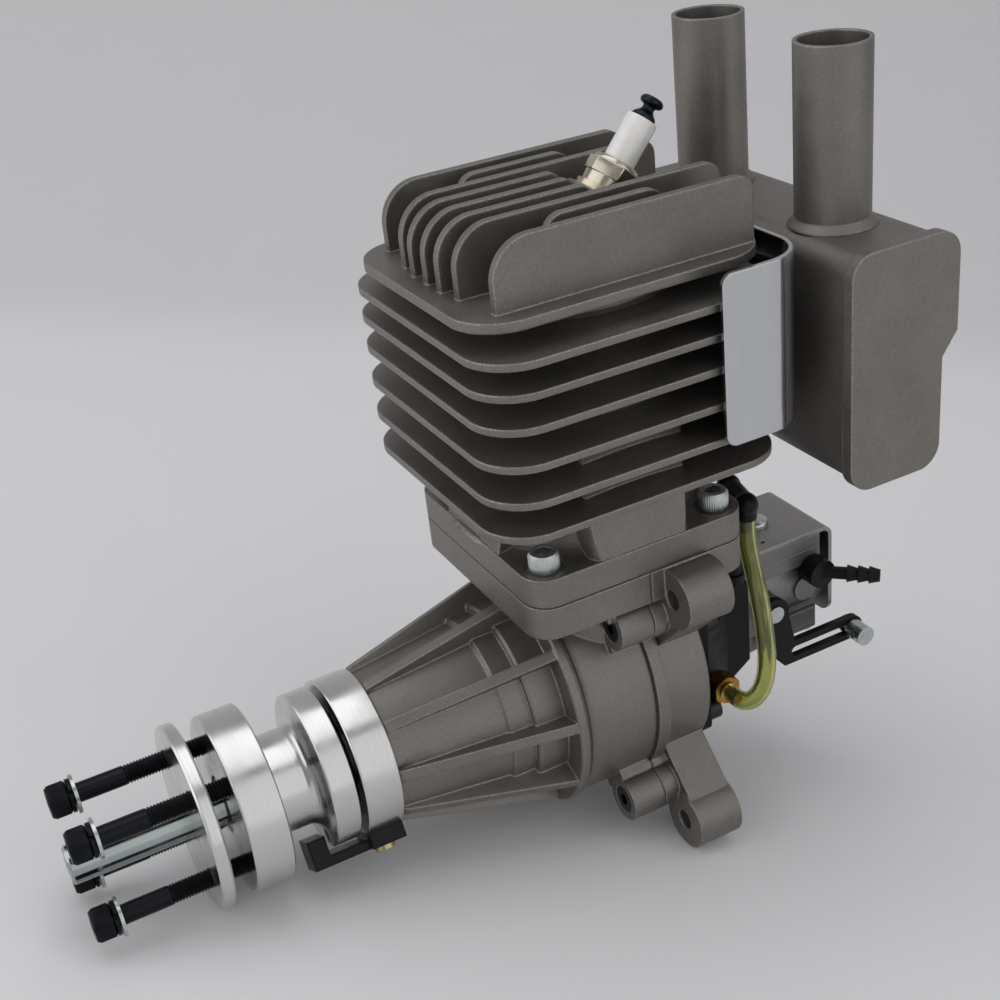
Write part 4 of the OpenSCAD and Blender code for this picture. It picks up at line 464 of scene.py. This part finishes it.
def moulded_plastic(name, colour, roughness=0.42, edge=0.4 * MM):
    """Injection-moulded nylon with glass fibre.

    The fibres near the skin leave a soft, uneven sheen, and the tool's texture a fine grain of about 0.2 mm,
    drawn at 0.4 mm.
    """
    material, tree, shader = new_material(name, ior=1.53, specular_ior_level=0.2)
    place = add_node(tree, "ShaderNodeTexCoord").outputs["Object"]
    grain = add_node(tree, "ShaderNodeTexNoise",
                     inputs={"Vector": place, "Scale": 1 / (0.4 * MM), "Detail": 3.0})
    sheen = add_node(tree, "ShaderNodeTexNoise",
                     inputs={"Vector": place, "Scale": 1 / (5 * MM), "Detail": 3.0})
    shade = add_node(tree, "ShaderNodeMapRange",
                     inputs={**NOISE_SPAN, "Value": sheen.outputs["Fac"], "To Min": 0.8, "To Max": 1.25})
    toned = add_node(tree, "ShaderNodeVectorMath", {"operation": "SCALE"},
                     {0: tuple(colour)[:3], "Scale": shade.outputs["Result"]})
    rough = add_node(tree, "ShaderNodeMapRange",
                     inputs={**NOISE_SPAN, "Value": sheen.outputs["Fac"], "To Min": roughness - 0.08,
                             "To Max": roughness + 0.1})
    bump = add_node(tree, "ShaderNodeBump",
                    inputs={"Height": grain.outputs["Fac"], "Strength": 0.35, "Distance": 0.04 * MM,
                            "Normal": rounded_edges(tree, edge)})
    connect(tree, shader, toned.outputs["Vector"], rough, bump)
    return material


def rolled_sheet(name, colour, roughness=0.12):
    """Rolled aluminium sheet.

    The mill leaves long fine lines in one direction, here upright, so the sheet mirrors softly and streaks,
    and bending leaves it slightly wavy, which gives broad bright and dark bands. Real lines are some
    hundredths of a millimetre apart, and are drawn at 0.35 mm.
    """
    material, tree, shader = new_material(name, metallic=1.0)
    place = add_node(tree, "ShaderNodeTexCoord").outputs["Object"]
    drawn = add_node(tree, "ShaderNodeMapping", inputs={"Vector": place, "Scale": (1.0, 1.0, 0.02)})
    lines = add_node(tree, "ShaderNodeTexNoise",
                     inputs={"Vector": drawn.outputs["Vector"], "Scale": 1 / (0.35 * MM), "Detail": 3.0})
    bent = add_node(tree, "ShaderNodeMapping", inputs={"Vector": place, "Scale": (1.0, 1.0, 0.2)})
    clouds = add_node(tree, "ShaderNodeTexNoise",
                      inputs={"Vector": bent.outputs["Vector"], "Scale": 1 / (12 * MM), "Detail": 2.0})
    shade = add_node(tree, "ShaderNodeMapRange",
                     inputs={**NOISE_SPAN, "Value": lines.outputs["Fac"], "To Min": 0.95, "To Max": 1.02})
    toned = add_node(tree, "ShaderNodeVectorMath", {"operation": "SCALE"},
                     {0: tuple(colour)[:3], "Scale": shade.outputs["Result"]})
    rough = add_node(tree, "ShaderNodeMapRange",
                     inputs={**NOISE_SPAN, "Value": clouds.outputs["Fac"], "To Min": roughness - 0.05,
                             "To Max": roughness + 0.09})
    wave = add_node(tree, "ShaderNodeBump",
                    inputs={"Height": clouds.outputs["Fac"], "Strength": 0.5, "Distance": 0.8 * MM,
                            "Normal": rounded_edges(tree, 0.4 * MM)})
    bump = add_node(tree, "ShaderNodeBump",
                    inputs={"Height": lines.outputs["Fac"], "Strength": 0.1, "Distance": 0.008 * MM,
                            "Normal": wave.outputs["Normal"]})
    connect(tree, shader, toned.outputs["Vector"], rough, bump)
    return material


def pressed_fibre(name, colour, fleck):
    """Pressed fibre gasket sheet: a matt dark board with paler fibres about 0.8 mm long at its cut edge."""
    material, tree, shader = new_material(name, roughness=0.85, ior=1.45)
    place = add_node(tree, "ShaderNodeTexCoord").outputs["Object"]
    laid = add_node(tree, "ShaderNodeMapping", inputs={"Vector": place, "Scale": (1.0, 1.0, 5.0)})
    fibres = add_node(tree, "ShaderNodeTexNoise",
                      inputs={"Vector": laid.outputs["Vector"], "Scale": 1 / (0.8 * MM), "Detail": 5.0,
                              "Roughness": 0.7})
    mask = add_node(tree, "ShaderNodeMapRange",
                    inputs={"Value": fibres.outputs["Fac"], "From Min": 0.5, "From Max": 0.75, "To Min": 0.0,
                            "To Max": 0.6})
    skin = add_node(tree, "ShaderNodeMix", {"data_type": "RGBA"},
                    {"Factor": mask.outputs["Result"], 6: tuple(colour), 7: tuple(fleck)})
    bump = add_node(tree, "ShaderNodeBump",
                    inputs={"Height": fibres.outputs["Fac"], "Strength": 0.4, "Distance": 0.05 * MM})
    tree.links.new(skin.outputs[2], shader.inputs["Base Color"])
    tree.links.new(bump.outputs["Normal"], shader.inputs["Normal"])
    return material


def glazed_ceramic(name, colour):
    """Glazed alumina: a white body under a clear coat, with a faint warm cloud and a sharp highlight."""
    material, tree, shader = new_material(name, roughness=0.3, ior=1.6, coat_weight=0.6, coat_roughness=0.06)
    place = add_node(tree, "ShaderNodeTexCoord").outputs["Object"]
    clouds = add_node(tree, "ShaderNodeTexNoise",
                      inputs={"Vector": place, "Scale": 1 / (3 * MM), "Detail": 3.0})
    shade = add_node(tree, "ShaderNodeMapRange",
                     inputs={**NOISE_SPAN, "Value": clouds.outputs["Fac"], "To Min": 0.93, "To Max": 1.0})
    toned = add_node(tree, "ShaderNodeVectorMath", {"operation": "SCALE"},
                     {0: tuple(colour)[:3], "Scale": shade.outputs["Result"]})
    tree.links.new(toned.outputs["Vector"], shader.inputs["Base Color"])
    return material


def soft_tube(name, colour):
    """Extruded polyurethane tube.

    It is clear yellow-green and glossy, and a little milky in places.
    """
    material, tree, shader = new_material(name, ior=1.48, transmission_weight=0.93)
    place = add_node(tree, "ShaderNodeTexCoord").outputs["Object"]
    milk = add_node(tree, "ShaderNodeTexNoise",
                    inputs={"Vector": place, "Scale": 1 / (4 * MM), "Detail": 2.0})
    shade = add_node(tree, "ShaderNodeMapRange",
                     inputs={**NOISE_SPAN, "Value": milk.outputs["Fac"], "To Min": 0.85, "To Max": 1.05})
    toned = add_node(tree, "ShaderNodeVectorMath", {"operation": "SCALE"},
                     {0: tuple(colour)[:3], "Scale": shade.outputs["Result"]})
    rough = add_node(tree, "ShaderNodeMapRange",
                     inputs={**NOISE_SPAN, "Value": milk.outputs["Fac"], "To Min": 0.06, "To Max": 0.12})
    tree.links.new(toned.outputs["Vector"], shader.inputs["Base Color"])
    tree.links.new(rough.outputs["Result"], shader.inputs["Roughness"])
    return material


# Operators


class ENGINE_OT_castings(Operator):
    """Dresses the castings in bead-blasted aluminium"""

    bl_idname = "engine.castings"
    bl_label = "Castings"

    def execute(self, context):
        colours = context.scene.engine_colours
        case = blasted_casting("Bead-blasted cast aluminium", colours.casting, colours.casting_edge_wear_and_highlight)
        dress(case, "front_case", "rear_case", "cylinder")
        muffler = blasted_casting("Blasted sheet aluminium", colours.casting, colours.casting_edge_wear_and_highlight)
        dress(muffler, "muffler", "muffler_cap", "outlet_pipes")
        return {"FINISHED"}


class ENGINE_OT_propeller_drive(Operator):
    """Dresses the turned hub, washer and sensor ring"""

    bl_idname = "engine.propeller_drive"
    bl_label = "Propeller Drive"

    def execute(self, context):
        colours = context.scene.engine_colours
        dress(turned_metal("Turned aluminium", colours.turned), "prop_hub", "prop_washer", "sensor_ring")
        dress(plated_metal("Sintered magnet", colours.black_steel, 0.36), "hub_magnet")
        dress(plated_metal("Zinc-plated washers", colours.zinc, 0.25), "flat_washers")
        dress(plated_metal("Zinc-plated stud", linear("#a9b1b0"), 0.15, 14, 0.004), "centre_stud")
        dress(moulded_plastic("Moulded nylon", colours.plastic, 0.3, 1.1 * MM), "sensor_holder")
        dress(plated_metal("Yellow zinc", linear("#c9b58a"), 0.3), "sensor_screw")
        return {"FINISHED"}


class ENGINE_OT_spark_plug(Operator):
    """Makes the spark plug: shell with hexagon and crimped rim, glazed insulator and mushroom terminal"""

    bl_idname = "engine.spark_plug"
    bl_label = "Spark Plug"

    def execute(self, context):
        colours = context.scene.engine_colours
        sizes = context.scene.engine_sizes
        place = Matrix.Translation(PLUG_SEAT) @ Matrix.Rotation(-PLUG_LEAN, 4, "X")
        hex_low, hex_high = 4.2 * MM, 7.9 * MM
        ceramic_r = sizes.insulator_diameter / 2
        ceramic_top = 8.5 * MM + sizes.insulator_height

        shell = bmesh.new()
        lathe(shell, [(0, -11 * MM), (4.4 * MM, -11 * MM), (4.9 * MM, -10.4 * MM), (4.9 * MM, 1.6 * MM),
                      (6.2 * MM, 1.6 * MM), (6.2 * MM, hex_low), (5.7 * MM, hex_low + 0.3 * MM),
                      (5.7 * MM, hex_high - 0.2 * MM), (6 * MM, hex_high), (5.8 * MM, hex_high + 0.6 * MM),
                      (5.2 * MM, hex_high + 1.1 * MM), (ceramic_r + 0.1 * MM, hex_high + 1.2 * MM),
                      (ceramic_r - 0.4 * MM, hex_high + 0.9 * MM), (0, hex_high + 0.9 * MM)], ROUND_STEPS)
        middle = Matrix.Translation((0, 0, (hex_low + hex_high) / 2))
        turned = Matrix.Rotation(math.radians(12), 4, "Z")
        corner_r = sizes.plug_hexagon / 2 / math.cos(math.pi / 6)
        nut = set(bmesh.ops.create_cone(shell, cap_ends=True, segments=6, radius1=corner_r, radius2=corner_r,
                                        depth=hex_high - hex_low, matrix=middle @ turned)["verts"])
        bmesh.ops.bevel(shell, geom=[e for e in shell.edges if e.verts[0] in nut], offset=0.35 * MM,
                        offset_type="OFFSET", segments=3, profile=0.5, affect="EDGES", material=-1)
        bmesh.ops.transform(shell, matrix=place, verts=shell.verts)
        nickel = plated_metal("Nickel-plated steel", colours.nickel, 0.2, 4, 0.006)
        finish_piece("plug_body", shell, nickel, "engine", ["plug_shell"])

        ceramic = bmesh.new()
        lathe(ceramic, [(0, -6 * MM), (2.4 * MM, -6 * MM), (2.6 * MM, 0), (ceramic_r, 3 * MM),
                        (ceramic_r, ceramic_top - 0.5 * MM), (ceramic_r - 0.15 * MM, ceramic_top - 0.15 * MM),
                        (ceramic_r - 0.5 * MM, ceramic_top), (0, ceramic_top)], ROUND_STEPS)
        bmesh.ops.transform(ceramic, matrix=place, verts=ceramic.verts)
        finish_piece("plug_ceramic", ceramic, glazed_ceramic("Glazed ceramic", colours.ceramic), "engine",
                     ["plug_insulator"])

        outline = [(0, -2), (1.4, -2), (1.4, 0), (3.05, 0), (3.1, 0.5), (2.6, 1.2), (1.9, 1.8), (1.55, 2.4),
                   (1.5, 2.9), (1.7, 3.3), (2.5, 3.5), (2.9, 3.9), (3, 4.4), (2.85, 4.9), (2.3, 5.4),
                   (1.2, 5.6), (0, 5.65)]
        cap = bmesh.new()
        lathe(cap, [(r * MM, ceramic_top + h * MM) for r, h in outline], ROUND_STEPS)
        bmesh.ops.transform(cap, matrix=place, verts=cap.verts)
        blued = plated_metal("Blued steel", linear("#2b3138"), 0.3, 3, 0.006)
        finish_piece("plug_cap_nut", cap, blued, "engine", ["plug_terminal"],
                     smooth_angle=math.radians(50))
        dress(plated_metal("Crushed nickel gasket", linear("#cfc6ae"), 0.28), "plug_gasket")
        return {"FINISHED"}


class ENGINE_OT_intake(Operator):
    """Dresses the intake block, the carburettor and their small parts"""

    bl_idname = "engine.intake"
    bl_label = "Intake and Carburettor"

    def execute(self, context):
        colours = context.scene.engine_colours
        nylon = moulded_plastic("Glass-filled nylon", colours.plastic)
        dress(nylon, "intake_block", "fuel_elbow", "throttle_lever", "choke_lever", "impulse_elbow",
              "reed_cage")
        # The paler edge colour is partly edge wear and partly a painted highlight along the edges
        body = blasted_casting("Die-cast carburettor alloy", colours.carburettor, linear("#a5a5a6"), 0.4,
                               0.4 * MM)
        dress(body, "carb_body", "pump_cover", "metering_cover")
        dress(rolled_sheet("Bent plated sheet", linear("#9d9a98"), 0.34), "top_bracket")
        zinc = plated_metal("Bright zinc plate", colours.zinc, 0.24, 1.5)
        dress(zinc, "lever_swivel", "throttle_shaft", "choke_shaft")
        brass = plated_metal("Brass", colours.brass, 0.28)
        dress(brass, "impulse_barb", "throttle_plate", "choke_plate", "mixture_screws")
        dress(rolled_sheet("Blued spring steel", linear("#3a3f45"), 0.3), "reed_petals")
        return {"FINISHED"}


class ENGINE_OT_inner_parts(Operator):
    """Dresses the parts inside the crankcase and the cylinder"""

    bl_idname = "engine.inner_parts"
    bl_label = "Inner Parts"

    def execute(self, context):
        ground = turned_metal("Ground steel", linear("#a9adb1"), 0.22, 0.25)
        dress(ground, "crankshaft", "bearing_outers", "bearing_inners", "crank_pin")
        bright = plated_metal("Polished steel", linear("#c9ccd0"), 0.16)
        dress(bright, "bearing_balls", "wrist_pin", "pin_clips", "hub_key")
        dress(plated_metal("Bearing bronze", linear("#b5b08f"), 0.3), "big_end_bearing", "small_end_bearing")
        # The paler edge colour of the rod is partly edge wear and partly a painted highlight along the edges
        dress(blasted_casting("Forged rod", linear("#9a9da1"), linear("#c2c4c7"), 0.4, 0.4 * MM), "con_rod")
        dress(plated_metal("Piston alloy", linear("#b3b4b5"), 0.32), "piston")
        dress(plated_metal("Cast iron", linear("#77797c"), 0.4), "piston_rings")
        dress(moulded_plastic("Nitrile rubber", linear("#1d1d1e"), 0.6), "shaft_seal")
        board = pressed_fibre("Gasket board", linear("#34373a"), linear("#6c6f72"))
        dress(board, "case_gasket", "base_gasket")
        return {"FINISHED"}


class ENGINE_OT_heat_shield(Operator):
    """Dresses the heat shield in rolled sheet"""

    bl_idname = "engine.heat_shield"
    bl_label = "Heat Shield"

    def execute(self, context):
        dress(rolled_sheet("Rolled aluminium sheet", context.scene.engine_colours.sheet), "heat_shield")
        return {"FINISHED"}


class ENGINE_OT_propeller_bolts(Operator):
    """Makes the four propeller bolts with knurled heads, sockets and threads"""

    bl_idname = "engine.propeller_bolts"
    bl_label = "Propeller Bolts"

    def execute(self, context):
        low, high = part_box("prop_bolts")
        head_height = 5 * MM
        bolt = cap_screw(2.5 * MM, high[1] - low[1] - head_height, 4.25 * MM, head_height, key=4 * MM,
                         threaded=28.5 * MM, sizes=context.scene.engine_sizes)
        bolts = merge(bmesh.new(), bolt, bolt_places(low[1] + head_height))
        finish = plated_metal("Black oxide screw steel", context.scene.engine_colours.black_steel, 0.34)
        finish_piece("propeller_bolts", bolts, finish, "crank", ["prop_bolts"])
        return {"FINISHED"}


class ENGINE_OT_spring_washers(Operator):
    """Makes the four split spring washers under the heads of the propeller bolts"""

    bl_idname = "engine.spring_washers"
    bl_label = "Spring Washers"

    def execute(self, context):
        low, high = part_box("lock_washers")
        sizes = context.scene.engine_sizes
        inner = 2.65 * MM
        outer = (high[0] - low[0]) / 2 - BOLT_CIRCLE_R * abs(math.cos(FIRST_BOLT_TURN - math.pi / 2))
        space = high[1] - low[1]
        thickness = space - sizes.washer_offset
        gap = 0.04
        split = Matrix.Rotation(math.radians(50), 4, "Z")
        ring = bmesh.new()
        wind(ring, [(inner, 0), (outer, 0), (outer, thickness), (inner, thickness)], sizes.washer_offset,
             1 - gap, WASHER_STEPS)
        rings = merge(bmesh.new(), ring, [place @ split for place in bolt_places(high[1])])
        finish = plated_metal("Black spring steel", context.scene.engine_colours.black_steel, 0.38)
        finish_piece("spring_washers", rings, finish, "crank", ["lock_washers"])
        return {"FINISHED"}


class ENGINE_OT_cylinder_screws(Operator):
    """Makes the four plated screws that hold the cylinder"""

    bl_idname = "engine.cylinder_screws"
    bl_label = "Cylinder Screws"

    def execute(self, context):
        low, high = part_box("cylinder_screws")
        head_height = 5 * MM
        screw = cap_screw(2.5 * MM, high[2] - low[2] - head_height, 3.9 * MM, head_height, key=4 * MM,
                          threaded=12 * MM, sizes=context.scene.engine_sizes)
        places = [Matrix.Translation((x, CYLINDER_Y + y, high[2] - head_height))
                  for x in (-CYLINDER_SCREW_X, CYLINDER_SCREW_X)
                  for y in (-CYLINDER_SCREW_Y, CYLINDER_SCREW_Y)]
        screws = merge(bmesh.new(), screw, places)
        finish = plated_metal("Dull zinc screw steel", context.scene.engine_colours.zinc, 0.32, 1.5)
        finish_piece("cylinder_bolts", screws, finish, "engine", ["cylinder_screws"])
        return {"FINISHED"}


class ENGINE_OT_carburettor_screws(Operator):
    """Makes the slotted screws of the carburettor and its bracket"""

    bl_idname = "engine.carburettor_screws"
    bl_label = "Carburettor Screws"

    def execute(self, context):
        slot = context.scene.engine_sizes.screw_slot
        up = Matrix.Rotation(math.radians(35), 4, "Z")
        down = Matrix.Rotation(math.pi, 4, "X") @ Matrix.Rotation(math.radians(25), 4, "Z")
        back = Matrix.Rotation(-math.pi / 2, 4, "X") @ Matrix.Rotation(math.radians(60), 4, "Z")
        kinds = (
            (slotted_screw(1.5 * MM, 9 * MM, 4 * MM, 2.2 * MM, 1.25 * slot), up, BRACKET_SCREW),
            (slotted_screw(1.3 * MM, 5 * MM, 2.2 * MM, 1.5 * MM, slot), down, COVER_SCREWS),
            (slotted_screw(2 * MM, 10.5 * MM, 2.4 * MM, 2 * MM, slot), back, FLANGE_SCREWS),
        )
        bm = bmesh.new()
        for screw, turn, spots in kinds:
            merge(bm, screw, [Matrix.Translation(Vector(spot) * MM) @ turn for spot in spots])
        finish = plated_metal("Bright zinc screw steel", context.scene.engine_colours.zinc, 0.22, 1.5, 0.006)
        finish_piece("slotted_screws", bm, finish, "engine", ["carb_screws"])
        return {"FINISHED"}


class ENGINE_OT_small_screws(Operator):
    """Dresses the case screws and the muffler screws"""

    bl_idname = "engine.small_screws"
    bl_label = "Case and Muffler Screws"

    def execute(self, context):
        colours = context.scene.engine_colours
        dress(plated_metal("Blackened screw steel", linear("#3c3d3f"), 0.34, 1.2), "case_screws")
        dress(plated_metal("Black muffler screw steel", colours.black_steel, 0.36, 1.2), "muffler_screws")
        return {"FINISHED"}


class ENGINE_OT_impulse_tube(Operator):
    """Makes the clear impulse tube from the brass fitting to the elbow"""

    bl_idname = "engine.impulse_tube"
    bl_label = "Impulse Tube"

    def execute(self, context):
        sizes = context.scene.engine_sizes
        curve = bpy.data.curves.new("impulse_route", "CURVE")
        curve.dimensions = "3D"
        curve.resolution_u = 6
        curve.bevel_depth = sizes.tube_diameter / 2
        curve.bevel_resolution = 6
        spline = curve.splines.new("NURBS")
        spline.points.add(len(TUBE_ROUTE) - 1)
        for point, place in zip(spline.points, TUBE_ROUTE):
            point.co = (*(c * MM for c in place), 1)
        spline.order_u = 4
        spline.use_endpoint_u = True
        route = bpy.data.objects.new("impulse_route", curve)
        mesh = bpy.data.meshes.new_from_object(route)
        bm = bmesh.new()
        bm.from_mesh(mesh)
        bmesh.ops.remove_doubles(bm, verts=bm.verts, dist=1e-6)
        bmesh.ops.recalc_face_normals(bm, faces=bm.faces)
        bmesh.ops.solidify(bm, geom=list(bm.faces), thickness=sizes.tube_wall)
        bpy.data.objects.remove(route)
        bpy.data.meshes.remove(mesh)
        finish = soft_tube("Clear yellow-green polyurethane", context.scene.engine_colours.tube)
        finish_piece("impulse_hose", bm, finish, "engine", ["impulse_tube"])
        return {"FINISHED"}


class ENGINE_OT_studio(Operator):
    """Makes the pale floor, the soft lamps and the camera"""

    bl_idname = "engine.studio"
    bl_label = "Studio"

    def execute(self, context):
        scene = context.scene
        studio = scene.engine_studio
        away = -CAMERA_BACK - FLOOR_NORMAL * FLOOR_NORMAL.dot(-CAMERA_BACK)
        away.normalize()
        side = FLOOR_NORMAL.cross(away).normalized()
        axes = Matrix((side, away, FLOOR_NORMAL)).transposed().to_4x4()
        base = Matrix.Translation(FLOOR_POINT) @ axes

        bm = bmesh.new()
        outline = [(FLOOR_FRONT, 0), (FLOOR_BACK, 0), (FLOOR_BACK, WALL_HEIGHT)]
        verts = [bm.verts.new((-FLOOR_HALF_WIDTH, y, z)) for y, z in outline]
        edges = [bm.edges.new(pair) for pair in zip(verts, verts[1:])]
        swept = bmesh.ops.extrude_edge_only(bm, edges=edges)["geom"]
        bmesh.ops.translate(bm, verts=[g for g in swept if isinstance(g, bmesh.types.BMVert)],
                            vec=(2 * FLOOR_HALF_WIDTH, 0, 0))
        bend = [e for e in bm.edges
                if all(abs(v.co.y - FLOOR_BACK) < 1e-6 and abs(v.co.z) < 1e-6 for v in e.verts)]
        bmesh.ops.bevel(bm, geom=bend, offset=COVE, offset_type="OFFSET", segments=24, profile=0.5,
                        affect="EDGES", material=-1)
        bmesh.ops.transform(bm, matrix=base, verts=bm.verts)
        bmesh.ops.recalc_face_normals(bm, faces=bm.faces)
        mesh = bpy.data.meshes.new("floor")
        bm.to_mesh(mesh)
        bm.free()
        mesh.shade_smooth()

        # Matt background paper, which keeps the soft shadow
        material, tree, shader = new_material("Background paper", roughness=0.9)
        place = add_node(tree, "ShaderNodeTexCoord").outputs["Object"]
        fibre = add_node(tree, "ShaderNodeTexNoise",
                         inputs={"Vector": place, "Scale": 1 / (60 * MM), "Detail": 3.0})
        shade = add_node(tree, "ShaderNodeMapRange",
                         inputs={"Value": fibre.outputs["Fac"], "To Min": 0.985, "To Max": 1.015})
        # Painted shade: the paper blends from the floor colour to a darker one from a set depth back
        depth = add_node(tree, "ShaderNodeVectorMath", {"operation": "DOT_PRODUCT"},
                         {0: place, 1: tuple(away)})
        edge = FLOOR_POINT.dot(away) + PAINTED_SHADE_DEPTH
        change = add_node(tree, "ShaderNodeMapRange", {"interpolation_type": "SMOOTHSTEP"},
                          {"Value": depth.outputs["Value"], "From Min": edge - PAINTED_SHADE_BLEND,
                           "From Max": edge + PAINTED_SHADE_BLEND})
        paper = add_node(tree, "ShaderNodeMix", {"data_type": "RGBA"},
                         {"Factor": change.outputs["Result"], 6: tuple(studio.floor),
                          7: tuple(studio.painted_shade_backdrop)})
        toned = add_node(tree, "ShaderNodeVectorMath", {"operation": "SCALE"},
                         {0: paper.outputs[2], "Scale": shade.outputs["Result"]})
        tree.links.new(toned.outputs["Vector"], shader.inputs["Base Color"])
        mesh.materials.append(material)
        floor = bpy.data.objects.new("floor", mesh)
        scene.collection.objects.link(floor)

        aim = Vector((0, -30, 55)) * MM
        lamps = [
            ("Overhead soft box", (-0.1, 0.05, 1.1), 0.9, studio.key_power),
            ("Left soft box", (-0.2, -1.3, 0.6), 2.0, studio.left_power),
            ("Right soft box", (1.3, 0.35, 0.5), 2.0, studio.right_power),
        ]
        for name, spot, size, power in lamps:
            lamp = bpy.data.lights.new(name, "AREA")
            lamp.shape = "SQUARE"
            lamp.size = size
            lamp.energy = power
            obj = bpy.data.objects.new(name, lamp)
            obj.location = spot
            obj.rotation_euler = (Vector(spot) - aim).to_track_quat("Z", "Y").to_euler()
            scene.collection.objects.link(obj)

        # The room is darker behind the camera, so that the metal that faces it keeps its contrast
        world = bpy.data.worlds.new("Studio light")
        world.use_nodes = True
        surround = world.node_tree.nodes["Background"]
        surround.inputs["Color"].default_value = linear("#f2f3f5")
        toward = add_node(world.node_tree, "ShaderNodeTexCoord").outputs["Generated"]
        behind = add_node(world.node_tree, "ShaderNodeVectorMath", {"operation": "DOT_PRODUCT"},
                          {0: toward, 1: tuple(CAMERA_BACK)})
        strength = add_node(world.node_tree, "ShaderNodeMapRange", {"interpolation_type": "SMOOTHSTEP"},
                            {"Value": behind.outputs["Value"], "From Min": 0.25, "From Max": 0.85,
                             "To Min": studio.ambient, "To Max": studio.shade})
        world.node_tree.links.new(strength.outputs["Result"], surround.inputs["Strength"])
        scene.world = world

        camera = bpy.data.cameras.new("Camera")
        camera.lens = CAMERA_LENS
        camera.sensor_width = 36
        camera.shift_x, camera.shift_y = CAMERA_SHIFT
        camera.clip_start = 0.01
        obj = bpy.data.objects.new("Camera", camera)
        back = CAMERA_BACK.normalized()
        right = (CAMERA_RIGHT - back * back.dot(CAMERA_RIGHT)).normalized()
        turned = Matrix((right, back.cross(right), back)).transposed().to_4x4()
        obj.matrix_world = Matrix.Translation(CAMERA_PLACE) @ turned
        scene.collection.objects.link(obj)
        scene.camera = obj
        scene.view_settings.view_transform = "Standard"
        return {"FINISHED"}


OPERATORS = (
    ENGINE_OT_castings,
    ENGINE_OT_propeller_drive,
    ENGINE_OT_spark_plug,
    ENGINE_OT_intake,
    ENGINE_OT_inner_parts,
    ENGINE_OT_heat_shield,
    ENGINE_OT_small_screws,
    ENGINE_OT_propeller_bolts,
    ENGINE_OT_spring_washers,
    ENGINE_OT_cylinder_screws,
    ENGINE_OT_carburettor_screws,
    ENGINE_OT_impulse_tube,
    ENGINE_OT_studio,
)


class ENGINE_PT_panel(Panel):
    """Lists the colours, sizes and steps of the engine"""

    bl_idname = "ENGINE_PT_panel"
    bl_label = "Engine"
    bl_space_type = "VIEW_3D"
    bl_region_type = "UI"
    bl_category = "Engine"

    def draw(self, context):
        for group in (context.scene.engine_colours, context.scene.engine_sizes, context.scene.engine_studio):
            box = self.layout.box()
            for name in group.__annotations__:
                box.prop(group, name)
        for operator in OPERATORS:
            self.layout.operator(operator.bl_idname)


CLASSES = (EngineColours, EngineSizes, StudioSettings, *OPERATORS, ENGINE_PT_panel)


def register():
    """Registers the classes and hangs the settings on the scene."""
    for cls in CLASSES:
        bpy.utils.register_class(cls)
    bpy.types.Scene.engine_colours = PointerProperty(type=EngineColours)
    bpy.types.Scene.engine_sizes = PointerProperty(type=EngineSizes)
    bpy.types.Scene.engine_studio = PointerProperty(type=StudioSettings)


def unregister():
    """Takes the settings and the classes away again."""
    del bpy.types.Scene.engine_studio
    del bpy.types.Scene.engine_sizes
    del bpy.types.Scene.engine_colours
    for cls in reversed(CLASSES):
        bpy.utils.unregister_class(cls)


def main():
    """Dresses the frame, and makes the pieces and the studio."""
    register()
    bpy.ops.engine.castings()
    bpy.ops.engine.propeller_drive()
    bpy.ops.engine.spark_plug()
    bpy.ops.engine.intake()
    bpy.ops.engine.inner_parts()
    bpy.ops.engine.heat_shield()
    bpy.ops.engine.small_screws()
    bpy.ops.engine.propeller_bolts()
    bpy.ops.engine.spring_washers()
    bpy.ops.engine.cylinder_screws()
    bpy.ops.engine.carburettor_screws()
    bpy.ops.engine.impulse_tube()
    bpy.ops.engine.studio()


if __name__ == "__main__":
    main()
